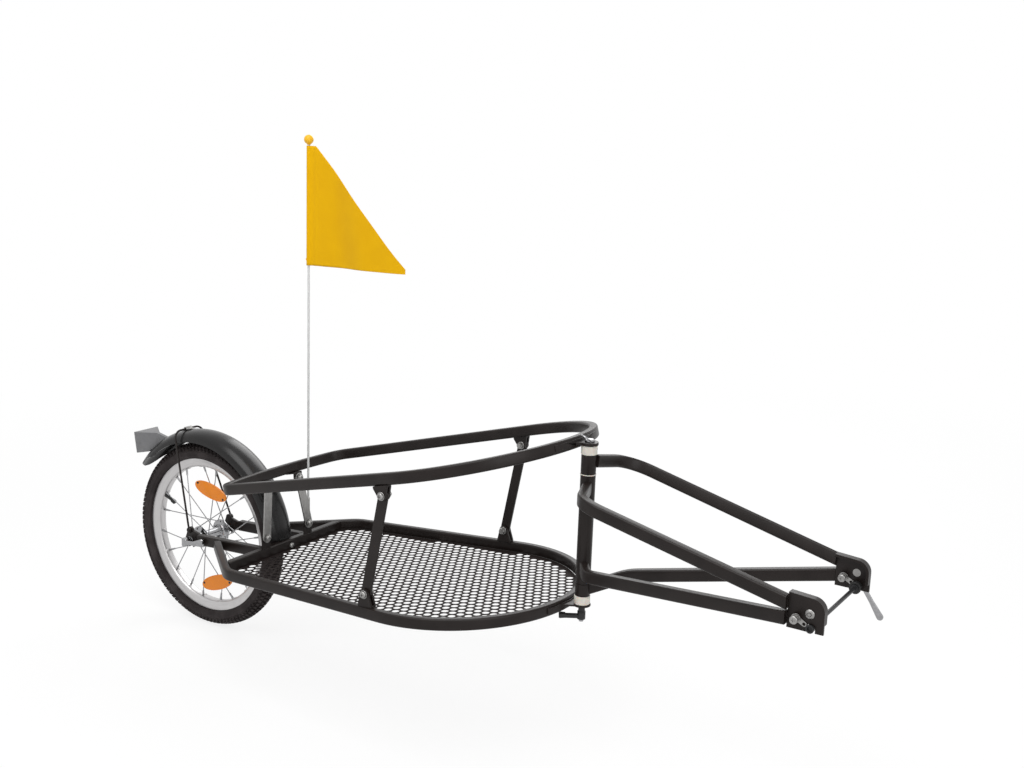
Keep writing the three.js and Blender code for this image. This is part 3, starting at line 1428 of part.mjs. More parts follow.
function latchBolt() {
  const seat = -plateOuterY - seatGap * 2 - latchThickness;
  const face = -plateOuterY - latchBoltStandoff;
  const back = plateThickness - plateOuterY + seatGap;
  const bolt = turned([
    [0, face], [latchBoltHead * rivetShare, face], [latchBoltHead, face + latchBoltHeadHeight / 2],
    [latchBoltHead, face + latchBoltHeadHeight], [latchBoltCollar, face + latchBoltHeadHeight],
    [latchBoltCollar, seat - washerThickness], [latchBoltWasher, seat - washerThickness],
    [latchBoltWasher, seat], [latchBoltRadius, seat], [latchBoltRadius, back], [latchBoltCollar, back],
    [latchBoltCollar, back + latchBoltHeadHeight], [0, back + latchBoltHeadHeight],
  ], screwSteps);
  return bolt.translate(latchPivotX, 0, latchPivotZ);
}

addPair(trailer, 'hitch_plate', hitchPlate(), coat);

// Each latch and its bolt lie on its plate's right face, which is the inner face of the left plate
for (const [side, shift] of [['right', 0], ['left', plateOuterY * 2 - plateThickness]]) {
  add(trailer, `hitch_latch_${side}`, hitchLatch().translate(0, shift, 0), zinc);
  add(trailer, `latch_bolt_${side}`, latchBolt().translate(0, shift, 0), zinc);
}

// Hitch axle through both hooks, with a barrel in each
const barrelEnd = plateOuterY + latchThickness + seatGap * 3;
const cammedEnd = barrelEnd + skewerOverhang;

function hitchSkewer() {
  const capEnd = barrelEnd + skewerCapLength;
  const profile = [
    [0, skewerSocketDepth - capEnd], [skewerSocketRadius, skewerSocketDepth - capEnd],
    [skewerSocketRadius, -capEnd], [skewerCapRadius, -capEnd], [skewerCapRadius, -barrelEnd],
    [skewerBarrelRadius, -barrelEnd], [skewerBarrelRadius, -skewerBarrelInner], [skewerRadius, -skewerBarrelInner],
    [skewerRadius, skewerBarrelInner], [skewerBarrelRadius, skewerBarrelInner], [skewerBarrelRadius, cammedEnd],
    [0, cammedEnd],
  ];
  return turned(profile, turnedSteps).translate(hitchX, 0, hitchHeight);
}

// The spacer on the left barrel, inside the hook and its latch
function skewerSpacer() {
  const bore = skewerBarrelRadius + seatGap;
  const outside = plateOuterY - plateThickness - seatGap * 2 - latchThickness;
  const step = outside - spacerBossLength;
  const inside = step - spacerRingLength;
  const profile = [
    [bore, inside], [spacerRingRadius, inside], [spacerRingRadius, step], [spacerBossRadius, step],
    [spacerBossRadius, outside], [bore, outside], [bore, inside],
  ];
  return turned(profile, turnedSteps).translate(hitchX, 0, hitchHeight);
}

const camY = cammedEnd + seatGap + camRadius;

function hitchLever() {
  const length = hitchLeverLength;
  const shape = new THREE.Shape();
  shape.moveTo(0, -hitchLeverRoot / 2);
  shape.lineTo(length * 0.55, -hitchLeverRoot / 2);
  shape.lineTo(length, -hitchLeverTip / 2);
  shape.absarc(length, 0, hitchLeverTip / 2, -Math.PI / 2, Math.PI / 2, false);
  shape.lineTo(length * 0.55, hitchLeverRoot / 2);
  shape.lineTo(0, hitchLeverRoot / 2);
  const blade = levelPlate(shape, -hitchLeverThickness / 2, hitchLeverThickness / 2);
  const cam = rod(V(0, -camWidth / 2, 0), V(0, camWidth / 2, 0), camRadius, camRadius, 20);
  const lever = join(cam, blade);
  const rake = THREE.MathUtils.degToRad(hitchLeverRakeDegrees);
  const splay = THREE.MathUtils.degToRad(hitchLeverSplayDegrees);
  const along = V(Math.sin(rake), 0, -Math.cos(rake));
  const hinge = V(Math.cos(rake), 0, Math.sin(rake));
  lever.rotateY(splay);
  lever.applyMatrix4(new THREE.Matrix4().makeBasis(along, hinge, along.clone().cross(hinge)));
  return lever.translate(hitchX, camY, hitchHeight);
}

add(trailer, 'hitch_skewer', hitchSkewer(), coat);
add(trailer, 'skewer_spacer', skewerSpacer(), darkPlastic);
add(trailer, 'hitch_lever', hitchLever(), chrome);

// Wheel
const wheel = new THREE.Group();
wheel.position.z = tyreRadius;
trailer.add(wheel);

const rimRadius = tyreRadius - tyreHeight;
const rimInnerRadius = rimRadius - rimDepth;
const rimWellRadius = rimRadius - rimWellDepth;
const tyreBeadRadius = rimRadius - tyreBeadDepth;

function tyre() {
  const middle = tyreRadius - tyreWidth / 2;
  const profile = [];
  const steps = 10;
  const open = Math.acos((middle - rimRadius - seatGap) / (tyreWidth / 2));
  for (let k = 0; k <= steps; k += 1) {
    const angle = -Math.PI + open + (2 * Math.PI - 2 * open) * k / steps;
    profile.push([middle + tyreWidth / 2 * Math.cos(angle), tyreWidth / 2 * Math.sin(angle)]);
  }
  const bead = tyreBeadWidth / 2;
  const seat = rimRadius + seatGap;
  profile.push([seat, bead], [tyreBeadRadius, bead], [tyreBeadRadius, -bead], [seat, -bead], profile[0]);
  return turned(profile, wheelSteps);
}

function rim() {
  const half = rimWidth / 2;
  const lip = half - rimFlange;
  const well = rimWellRadius;
  const valve = fenderAngle(valveDegrees);
  const ring = turned([
    [rimRadius, -half], [rimRadius, -lip], [well, -lip], [well, lip], [rimRadius, lip], [rimRadius, half],
    [rimRadius - (rimRadius - rimInnerRadius) * 0.55, half], [rimInnerRadius, rimWellWidth / 2],
    [rimInnerRadius, -rimWellWidth / 2], [rimRadius - (rimRadius - rimInnerRadius) * 0.55, -half],
    [rimRadius, -half],
  ], wheelSteps);
  const bore = rod(V(0, 0, 0), V(Math.cos(valve), 0, Math.sin(valve)).multiplyScalar(rimRadius),
    valveRadius + seatGap);
  return cut(ring, bore);
}

function hubAndSpokes() {
  const flange = hubFlangeSpacing / 2;
  const outer = flange + hubFlangeThickness / 2;
  const inner = flange - hubFlangeThickness / 2;
  const end = hubLength / 2 - weldDepth - seatGap;
  const hub = turned([
    [hubBoreRadius, -end], [hubEndRadius, -end], [hubEndRadius, -outer - hubFlangeThickness],
    [hubFlangeRadius * 0.7, -outer], [hubFlangeRadius, -outer], [hubFlangeRadius, -inner],
    [hubFlangeRadius * 0.6, -inner], [hubBarrelRadius, -inner * 0.7], [hubBarrelRadius, inner * 0.7],
    [hubFlangeRadius * 0.6, inner], [hubFlangeRadius, inner], [hubFlangeRadius, outer],
    [hubFlangeRadius * 0.7, outer], [hubEndRadius, outer + hubFlangeThickness], [hubEndRadius, end],
    [hubBoreRadius, end], [hubBoreRadius, -end],
  ], turnedSteps);
  const spokes = [];
  for (let k = 0; k < spokeCount; k += 1) {
    const side = k % 2 ? 1 : -1;
    const pair = Math.floor(k / 2) % 2 ? 1 : -1;
    const rimAngle = 2 * Math.PI * (k + 1 / 2) / spokeCount;
    const hubAngle = rimAngle + pair * Math.PI * 0.42;
    const reach = rimInnerRadius * Math.cos(Math.PI / wheelSteps) - seatGap * 2;
    const from = V(spokeHoleRadius * Math.cos(hubAngle), side * flange, spokeHoleRadius * Math.sin(hubAngle));
    const to = V(reach * Math.cos(rimAngle), side * spokeRimSpread, reach * Math.sin(rimAngle));
    spokes.push(rod(from, to, spokeRadius, spokeRadius, 4));
  }
  return join(hub, ...spokes);
}

function wheelAxle() {
  const near = stayOuterFace + axleNutLength;
  return turned([
    [0, -near], [axleNutRadius * 0.8, -near], [axleNutRadius, -near + axleNutLength * 0.3],
    [axleNutRadius, -stayOuterFace], [axleRadius, -stayOuterFace], [axleRadius, stayOuterFace],
    [axleNutRadius, stayOuterFace], [axleNutRadius, near - axleNutLength * 0.3],
    [axleNutRadius * 0.8, near], [0, near],
  ]);
}

const stayOuterFace = hubLength / 2 + dropoutThickness + seatGap;

function valve() {
  const inner = rimInnerRadius - valveLength;
  const stem = turned([
    [0, inner], [valveCapRadius * 0.7, inner], [valveCapRadius, inner + valveCapLength * 0.2],
    [valveCapRadius, inner + valveCapLength], [valveRadius * 0.8, inner + valveCapLength],
    [valveRadius, rimInnerRadius - valveCapLength / 2], [valveRadius, rimWellRadius],
    [0, rimWellRadius],
  ], 12);
  return stem.rotateX(Math.PI / 2).rotateY(Math.PI / 2 - fenderAngle(valveDegrees));
}

// A reflector clipped between two spokes, its lens the shape of a lozenge with round ends
function spokeReflector(angle) {
  const half = reflectorLensLength / 2;
  const tall = reflectorLensHeight / 2;
  const shape = new THREE.Shape();
  shape.moveTo(-half * 0.62, -tall);
  shape.quadraticCurveTo(0, -tall * 1.15, half * 0.62, -tall);
  shape.quadraticCurveTo(half, -tall * 0.8, half, 0);
  shape.quadraticCurveTo(half, tall * 0.8, half * 0.62, tall);
  shape.quadraticCurveTo(0, tall * 1.15, -half * 0.62, tall);
  shape.quadraticCurveTo(-half, tall * 0.8, -half, 0);
  shape.quadraticCurveTo(-half, -tall * 0.8, -half * 0.62, -tall);
  const lens = sidePlate(shape, -reflectorLensY - reflectorLensThickness, -reflectorLensY);
  lens.translate(0, 0, reflectorLensCentre);
  return lens.rotateY(Math.PI / 2 - angle);
}

// The lever at the axle's near end, turned down along the stay
function wheelReleaseLever() {
  const y = -stayOuterFace - axleNutLength - seatGap - leverCamRadius;
  const half = leverCamHeight / 2;
  const cam = rod(V(0, y, -half), V(0, y, half), leverCamRadius, leverCamRadius, turnedSteps);
  const root = leverRootHeight / 2;
  const tip = leverTipHeight / 2;
  const shape = new THREE.Shape();
  shape.moveTo(0, -root);
  shape.lineTo(leverReach * 0.5, leverRise * 0.4 - root);
  shape.lineTo(leverReach - tip, leverRise - tip);
  shape.absarc(leverReach - tip, leverRise, tip, -Math.PI / 2, Math.PI / 2, false);
  shape.lineTo(leverReach * 0.5, leverRise * 0.4 + root);
  shape.lineTo(0, root);
  const blade = sidePlate(shape, y - leverThickness, y);
  return join(cam, blade);
}

add(wheel, 'tyre', tyre(), rubber);
add(wheel, 'rim', rim(), alloy);
add(wheel, 'hub_and_spokes', hubAndSpokes(), chrome);
add(wheel, 'wheel_axle', wheelAxle(), chrome);
add(wheel, 'valve', valve(), darkPlastic);
for (const [name, degrees] of [['upper', upperLensDegrees], ['lower', lowerLensDegrees]]) {
  add(wheel, `spoke_reflector_${name}`, spokeReflector(THREE.MathUtils.degToRad(degrees)), amber);
}
add(wheel, 'wheel_release_lever', wheelReleaseLever(), chrome);

export default trailer;
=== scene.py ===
"""Single wheel cargo trailer: finishes, fine pieces and stage around its fixed frame."""

import json
import math

import bmesh
import bpy
from mathutils import Euler, Matrix, Vector
from mathutils.geometry import delaunay_2d_cdt


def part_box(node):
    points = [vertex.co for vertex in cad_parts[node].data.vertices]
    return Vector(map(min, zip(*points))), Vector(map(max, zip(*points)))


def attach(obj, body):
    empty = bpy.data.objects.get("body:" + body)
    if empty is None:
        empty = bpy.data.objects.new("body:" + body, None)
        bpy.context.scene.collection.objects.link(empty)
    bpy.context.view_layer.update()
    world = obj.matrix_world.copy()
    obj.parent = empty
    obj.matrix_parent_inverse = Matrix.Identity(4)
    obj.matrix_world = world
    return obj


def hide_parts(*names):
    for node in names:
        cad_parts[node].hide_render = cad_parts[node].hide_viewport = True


bl_info = {
    "name": "Single Wheel Cargo Trailer",
    "version": (1, 0, 0),
    "blender": (4, 5, 0),
    "location": "3D View > Sidebar > Trailer",
    "description": "Dresses the trailer's frame with its finishes, mesh deck, wheel and flag",
    "category": "Add Mesh",
}

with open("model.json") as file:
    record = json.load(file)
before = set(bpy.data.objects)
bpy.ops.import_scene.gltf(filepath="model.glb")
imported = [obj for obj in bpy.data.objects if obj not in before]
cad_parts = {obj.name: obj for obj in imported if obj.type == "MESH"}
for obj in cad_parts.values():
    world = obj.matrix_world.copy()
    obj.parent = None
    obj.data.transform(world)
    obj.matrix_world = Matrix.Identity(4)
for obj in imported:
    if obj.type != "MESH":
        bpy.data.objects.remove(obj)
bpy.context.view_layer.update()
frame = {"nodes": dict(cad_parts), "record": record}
NODES = frame["nodes"]
SLOTS = {part["node"]: part["material_slot"] for part in frame["record"]["subparts"]}

# Places, in metres: the frame's origin is the middle of the hitch axle
MM = 0.001
HITCH_X = 1303 * MM
HITCH_HEIGHT = 354 * MM
WHEEL_RADIUS = 190 * MM
LEAN = math.radians(3.55)
GROUND = Vector((0, 0, -HITCH_HEIGHT))
WHEEL_CENTRE = Vector((-HITCH_X, 0, WHEEL_RADIUS - HITCH_HEIGHT))
DECK = Matrix.Translation(WHEEL_CENTRE) @ Matrix.Rotation(-LEAN, 4, "Y")


# Shader maths
class Wire:
    """A shader socket whose arithmetic adds Math nodes."""

    def __init__(self, nodes, socket):
        self.nodes = nodes
        self.socket = socket

    def __add__(self, other):
        return self.nodes.maths("ADD", self, other)

    def __mul__(self, other):
        return self.nodes.maths("MULTIPLY", self, other)

    __radd__ = __add__
    __rmul__ = __mul__

    def ramp(self, low, high):
        """0 below low, 1 above high, smooth between them."""
        settings = {"interpolation_type": "SMOOTHSTEP"}
        return self.nodes.node("ShaderNodeMapRange", settings, {"Value": self, 1: low, 2: high})


class Nodes:
    """The nodes of a material or of the world."""

    def __init__(self, tree):
        self.tree = tree

    def put(self, node, socket, value):
        if isinstance(value, Wire):
            self.tree.links.new(value.socket, node.inputs[socket])
        else:
            node.inputs[socket].default_value = value

    def node(self, kind, settings=None, inputs=None, output=0):
        """Adds a node: its settings first, then its sockets; returns one output."""
        made = self.tree.nodes.new(kind)
        for name, value in (settings or {}).items():
            setattr(made, name, value)
        for socket, value in (inputs or {}).items():
            self.put(made, socket, value)
        return Wire(self, made.outputs[output])

    def seen(self):
        """1 for the camera's rays and for those that gloss or glass sends on, 0 for others."""
        camera = self.node("ShaderNodeLightPath")
        outputs = camera.socket.node.outputs
        glossy, through = (Wire(self, outputs[name]) for name in ("Is Glossy Ray", "Is Transmission Ray"))
        return self.maths("MAXIMUM", self.maths("MAXIMUM", camera, glossy), through)

    def maths(self, operation, *values):
        return self.node("ShaderNodeMath", {"operation": operation}, dict(enumerate(values)))


class Finish(Nodes):
    """A material with one Principled shader and the nodes behind it."""

    def __init__(self, name, **sockets):
        self.material = bpy.data.materials.new(name)
        self.material.use_nodes = True
        super().__init__(self.material.node_tree)
        self.shader = self.tree.nodes["Principled BSDF"]
        for socket, value in sockets.items():
            self.put(self.shader, socket.replace("_", " "), value)

    def place(self):
        return self.node("ShaderNodeTexCoord", output="Object")

    def noise(self, scale, detail=2.0, stretch=None):
        place = self.place()
        if stretch:
            place = self.node("ShaderNodeVectorMath", {"operation": "MULTIPLY"}, {0: place, 1: stretch})
        inputs = {"Vector": place, "Scale": scale, "Detail": detail}
        return self.node("ShaderNodeTexNoise", None, inputs)

    def mix(self, factor, first, second):
        """Mixes two colours."""
        inputs = {0: factor, 6: (*first, 1), 7: (*second, 1)}
        return self.node("ShaderNodeMix", {"data_type": "RGBA"}, inputs, output=2)

    def color(self, value):
        self.put(self.shader, "Base Color", value if isinstance(value, Wire) else (*value, 1))
        return self

    def rough(self, value):
        self.put(self.shader, "Roughness", value)
        return self

    def bump(self, height, strength, depth=MM):
        inputs = {"Strength": strength, "Distance": depth, "Height": height}
        normal = self.node("ShaderNodeBump", None, inputs)
        self.put(self.shader, "Normal", normal)
        return self


def powder_coat():
    made = Finish("Powder coat", Specular_IOR_Level=0.22)
    patches = made.noise(22)
    made.color(made.mix(patches.ramp(0.3, 0.7), (0.0088, 0.006, 0.0052), (0.0135, 0.0098, 0.0088)))
    made.rough(patches * 0.08 + 0.33)
    return made.bump(made.noise(900, 3), 0.16, 0.0002).material


def sheet_coat():
    made = Finish("Sheet coat", Specular_IOR_Level=0.06)
    patches = made.noise(60, 3)
    made.color(made.mix(patches, (0.012, 0.009, 0.0085), (0.022, 0.017, 0.016)))
    return made.rough(patches * 0.1 + 0.55).bump(made.noise(900, 2), 0.1, 0.0002).material


def black_oxide():
    made = Finish("Black steel", Specular_IOR_Level=0.35)
    streaks = made.noise(140, 4, (1, 8, 1))
    made.color(made.mix(streaks, (0.008, 0.008, 0.009), (0.02, 0.02, 0.021)))
    return made.rough(streaks * 0.14 + 0.3).bump(made.noise(900, 2), 0.1, 0.0002).material


def zinc_plate():
    made = Finish("Zinc plate", Metallic=1.0)
    blotches = made.noise(160, 4)
    made.color(made.mix(blotches, (0.2, 0.195, 0.19), (0.4, 0.395, 0.385)))
    made.rough(blotches * 0.25 + 0.24)
    return made.bump(made.noise(1400, 2), 0.12, 0.0002).material


def polished_chrome():
    made = Finish("Polished chrome", Metallic=1.0)
    swirls = made.noise(240, 3)
    made.color(made.mix(swirls, (0.24, 0.24, 0.245), (0.4, 0.4, 0.41)))
    return made.rough(swirls * 0.12 + 0.1).bump(swirls, 0.03, 0.0002).material


def satin_alloy():
    made = Finish("Satin alloy", Metallic=1.0)
    grain = made.noise(60, 4, (1, 30, 1))
    made.color(made.mix(grain, (0.42, 0.41, 0.41), (0.6, 0.59, 0.59)))
    return made.rough(grain * 0.16 + 0.26).bump(grain, 0.05, 0.0002).material


def cream_nylon():
    made = Finish("Cream nylon", Subsurface_Weight=0.15, Subsurface_Scale=0.002)
    soft = made.noise(180, 3)
    made.color(made.mix(soft, (0.6, 0.565, 0.5), (0.68, 0.645, 0.58)))
    return made.rough(soft * 0.1 + 0.38).bump(soft, 0.05, 0.0003).material


def black_rubber():
    made = Finish("Black rubber", Specular_IOR_Level=0.2)
    dust = made.noise(34, 5)
    made.color(made.mix(dust.ramp(0.4, 0.75), (0.017, 0.0128, 0.0128), (0.04, 0.033, 0.033)))
    made.rough(dust * 0.2 + 0.6)
    return made.bump(made.noise(1100, 3), 0.25, 0.0003).material


def moulded_plastic(name, low, high, roughness, grain=0.12):
    made = Finish(name, Specular_IOR_Level=0.3)
    cloud = made.noise(90, 3)
    made.color(made.mix(cloud, low, high))
    made.rough(cloud * 0.08 + roughness)
    return made.bump(made.noise(1300, 2), grain, 0.0002).material


def prismatic_lens():
    made = Finish("Amber lens", Specular_IOR_Level=0.25, Coat_Weight=0.25, Coat_Roughness=0.08)
    cells_and_facet_shade = made.node("ShaderNodeTexVoronoi", {"feature": "F1", "distance": "CHEBYCHEV"},
                      {"Vector": made.place(), "Scale": 420.0, "Randomness": 0.0})
    # Each cell's colour is lighter at its middle and darker at its edges: painted shade of the prism facets,
    # laid over the lens's real cell pattern.
    made.color(made.mix(cells_and_facet_shade, (0.86, 0.27, 0.001), (0.62, 0.13, 0.0)))
    return made.rough(cells_and_facet_shade * 0.2 + 0.2).bump(cells_and_facet_shade, 0.5, 0.0006).material


def white_rod():
    return moulded_plastic("White glass-fibre", (0.6, 0.605, 0.6), (0.7, 0.705, 0.7), 0.3, 0.05)


# The cloth's weave, in radians of thread to a metre
THREADS = 5200


def flag_cloth():
    made = Finish("Yellow cloth", Specular_IOR_Level=0.08, Sheen_Weight=0.04)
    place = made.place()
    across = made.node("ShaderNodeSeparateXYZ", None, {0: place})
    up = Wire(made, across.socket.node.outputs[2])
    weft = made.maths("SINE", across * THREADS)
    warp = made.maths("SINE", up * THREADS)
    weave = weft * warp * 0.5 + 0.5
    cloud = made.noise(26, 3)
    made.color(made.mix(cloud * 0.7 + weave * 0.2, (0.66, 0.345, 0.0006), (0.76, 0.43, 0.001)))
    return made.rough(cloud * 0.1 + 0.55).bump(weave, 0.2, 0.0002).material


MATERIALS = {
    "coat": powder_coat,
    "sheet_coat": sheet_coat,
    "black_steel": black_oxide,
    "zinc": zinc_plate,
    "chrome": polished_chrome,
    "alloy": satin_alloy,
    "nylon": cream_nylon,
    "tyre": black_rubber,
    "fender": lambda: moulded_plastic(
        "Fender plastic", (0.0065, 0.006, 0.0062), (0.011, 0.0104, 0.0106), 0.2, 0.06),
    "dark_plastic": lambda: moulded_plastic(
        "Black moulding", (0.012, 0.012, 0.012), (0.02, 0.02, 0.02), 0.36),
    "grey_plastic": lambda: moulded_plastic("Grey moulding", (0.13, 0.13, 0.135), (0.19, 0.19, 0.195), 0.3),
    "amber": prismatic_lens,
    "white": white_rod,
    "yellow_plastic": lambda: moulded_plastic(
        "Yellow moulding", (0.76, 0.4, 0.012), (0.84, 0.47, 0.02), 0.34),
    "flag": flag_cloth,
}
MADE = {}


def finish_of(slot):
    """The material of a slot, made the first time that it is asked for."""
    if slot not in MADE:
        MADE[slot] = MATERIALS[slot]()
    return MADE[slot]


# Places: the pieces are drawn in millimetres, in deck coordinates or upright over the ground
DECK_MM = DECK @ Matrix.Scale(MM, 4)
UPRIGHT_MM = Matrix.Translation((-HITCH_X, 0, -HITCH_HEIGHT)) @ Matrix.Scale(MM, 4)
WHEEL_MM = Matrix.Translation(WHEEL_CENTRE) @ Matrix.Scale(MM, 4)
BODIES = {node: body for body, nodes in frame["record"]["behaviour"]["bodies"].items() for node in nodes}
UP = Vector((0, 0, 1))
ACROSS = Vector((0, 1, 0))


def turn_of(degrees, axis):
    return Matrix.Rotation(math.radians(degrees), 4, axis)


# Meshes
class Stock:
    """Points and faces gathered from several forms, made into one piece."""

    def __init__(self):
        self.verts = []
        self.faces = []

    def add(self, verts, faces, matrix=None):
        start = len(self.verts)
        self.verts += [matrix @ Vector(v) if matrix else Vector(v) for v in verts]
        self.faces += [[start + k for k in face] for face in faces]

    def loops(self, loops, closed=False, matrix=None):
        """A skin over loops of equal length, with an end face at each end unless it closes on itself."""
        count = len(loops[0])
        spans = len(loops) if closed else len(loops) - 1
        faces = []
        for i in range(spans):
            here, there = i * count, (i + 1) % len(loops) * count
            for j in range(count):
                after = (j + 1) % count
                faces.append([here + j, here + after, there + after, there + j])
        if not closed:
            faces += [list(range(count)), list(range(spans * count, (spans + 1) * count))[::-1]]
        self.add([p for loop in loops for p in loop], faces, matrix)

    def lathe(self, profile, steps=64, matrix=None):
        """A closed profile of (radius, place along Y) turned about the Y axis."""
        turns = [2 * math.pi * k / steps for k in range(steps)]
        rings = [[(r * math.cos(a), y, r * math.sin(a)) for r, y in profile] for a in turns]
        self.loops(rings, True, matrix)

    def prism(self, outline, low, high, matrix=None):
        """An outline in X and Z carried from low to high along Y."""
        self.loops([[(x, y, z) for x, z in outline] for y in (low, high)], matrix=matrix)

    def rod(self, start, end, radius, steps=16, end_radius=None):
        along = end - start
        turn = along.to_track_quat("Z", "Y").to_matrix().to_4x4()
        turns = [2 * math.pi * k / steps for k in range(steps)]
        sizes = ((0, radius), (along.length, radius if end_radius is None else end_radius))
        rings = [[(r * math.cos(a), r * math.sin(a), z) for a in turns] for z, r in sizes]
        self.loops(rings, matrix=Matrix.Translation(start) @ turn)

    def sweep(self, outline, path, up, closed=False, last=None):
        """Carries an outline along a path, mitred at each of its points."""
        count = len(path)

        def heading(i):
            return (path[(i + 1) % count] - path[i % count]).normalized()

        right = heading(0).cross(up).normalized()
        rise = right.cross(heading(0))
        ring = [path[0] + right * x + rise * y for x, y in outline]
        loops = []
        for i, place in enumerate(path):
            travel = heading(max(i - 1, 0))
            face = (heading(i - 1) + heading(i)).normalized()
            if not closed and i == 0:
                face = heading(0)
            elif not closed and i == count - 1:
                face = last or travel
            ring = [p + travel * ((place - p).dot(face) / travel.dot(face)) for p in ring]
            loops.append(ring)
        self.loops(loops, closed)


def tube_outline(width=15.0, height=20.0, radius=3.6, steps=5):
    """The frame tube's section, with the path on its outer top edge."""
    points = []
    for x, y, start in ((-radius, -radius, 0), (radius - width, -radius, 90),
                        (radius - width, radius - height, 180), (-radius, radius - height, 270)):
        for k in range(steps + 1):
            angle = math.radians(start + 90 * k / steps)
            points.append((x + radius * math.cos(angle), y + radius * math.sin(angle)))
    return points


def circle(radius, steps=16, x=0.0, y=0.0):
    turns = [2 * math.pi * k / steps for k in range(steps)]
    return [(x + radius * math.cos(a), y + radius * math.sin(a)) for a in turns]


def arc(x, y, radius, start, end, steps):
    """Points on an arc, from one angle to another in degrees."""
    angles = [math.radians(start + (end - start) * k / steps) for k in range(steps + 1)]
    return [(x + radius * math.cos(a), y + radius * math.sin(a)) for a in angles]


def route(corners, step=5.0):
    """The points of a line whose inner corners, pairs of place and bend radius, are rounded."""
    points = []
    for i, (at, bend) in enumerate(corners):
        if not bend or i in (0, len(corners) - 1):
            points.append(at)
            continue
        back = (corners[i - 1][0] - at).normalized()
        ahead = (corners[i + 1][0] - at).normalized()
        turn = math.pi - back.angle(ahead)
        reach = bend * math.tan(turn / 2)
        centre = at + (back + ahead).normalized() * (bend / math.cos(turn / 2))
        start, end = at + back * reach - centre, at + ahead * reach - centre
        axis = start.cross(end).normalized()
        steps = max(2, math.ceil(math.degrees(turn) / step))
        points += [Matrix.Rotation(turn * k / steps, 3, axis) @ start + centre for k in range(steps + 1)]
    return points


def applied(made):
    """Writes a piece's modifiers into its mesh."""
    bpy.context.view_layer.update()
    graph = bpy.context.evaluated_depsgraph_get()
    mesh = bpy.data.meshes.new_from_object(made.evaluated_get(graph))
    old = made.data
    made.modifiers.clear()
    made.data = mesh
    bpy.data.meshes.remove(old)


def softened(made, width):
    """Rounds a piece's sharp edges by a width in millimetres."""
    bevel = made.modifiers.new("Edges", "BEVEL")
    bevel.width = width * MM
    bevel.segments = 2
    bevel.limit_method = "ANGLE"
    bevel.angle_limit = math.radians(32)
    bevel.use_clamp_overlap = True
    bevel.harden_normals = True
    applied(made)


def closed_up(mesh, merge=0.00001):
    """Merges doubled points and turns the faces outward."""
    work = bmesh.new()
    work.from_mesh(mesh)
    bmesh.ops.remove_doubles(work, verts=work.verts, dist=merge)
    bmesh.ops.recalc_face_normals(work, faces=work.faces)
    work.to_mesh(mesh)
    work.free()


def piece(name, stock, place, nodes=(), like=None, edges=0.0, slot=None, crease=38.0, finish=None):
    """A piece from a stock, in a place's coordinates, that rides as its first node and stands for all."""
    carrier = nodes[0] if nodes else like
    mesh = bpy.data.meshes.new(name)
    mesh.from_pydata([tuple(place @ v) for v in stock.verts], [], stock.faces)
    closed_up(mesh)
    return dressed(name, mesh, carrier, nodes, edges, slot or SLOTS[carrier], crease, finish)


def dressed(name, mesh, carrier, nodes, edges, slot, crease=38.0, finish=None):
    made = bpy.data.objects.new(name, mesh)
    bpy.context.scene.collection.objects.link(made)
    mesh.materials.clear()
    mesh.materials.append(finish_of(finish or slot))
    mesh.shade_smooth()
    mesh.set_sharp_from_angle(angle=math.radians(crease))
    if edges:
        softened(made, edges)
    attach(made, BODIES[carrier])
    if nodes:
        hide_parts(*nodes)
    return made


def refined(node, edges):
    """A node's own shape with clean faces and rounded edges."""
    mesh = NODES[node].data.copy()
    work = bmesh.new()
    work.from_mesh(mesh)
    bmesh.ops.remove_doubles(work, verts=work.verts, dist=0.00002)
    bmesh.ops.dissolve_limit(work, angle_limit=math.radians(1.5), verts=work.verts, edges=work.edges)
    work.to_mesh(mesh)
    work.free()
    return dressed(f"{node}_fine", mesh, node, (node,), edges, SLOTS[node])


class TrailerSettings(bpy.types.PropertyGroup):
    """The sizes and the colour that a user may change before the pieces are made."""

    hole_pitch: bpy.props.FloatProperty(
        name="Deck hole pitch", description="Distance between the deck's holes", default=16 * MM,
        min=8 * MM, unit="LENGTH")
    hole_diameter: bpy.props.FloatProperty(
        name="Deck hole diameter", description="Diameter of the deck's holes", default=13.2 * MM,
        min=4 * MM, unit="LENGTH")
    spoke_diameter: bpy.props.FloatProperty(
        name="Spoke diameter", description="Diameter of the wheel's spokes", default=2 * MM,
        min=1 * MM, unit="LENGTH")
    floor_color: bpy.props.FloatVectorProperty(
        name="Floor colour", description="Colour of the studio floor", default=(0.9, 0.9, 0.9),
        subtype="COLOR", min=0, max=1)


def settings():
    return bpy.context.scene.trailer


# Studio: the world's light on the object, and how much of the floor's white the camera sees near and far
SOFT_LIGHT = 0.47
FLOOR_WHITE = 0.82
FLOOR_FADE = (1.2, 3.5)


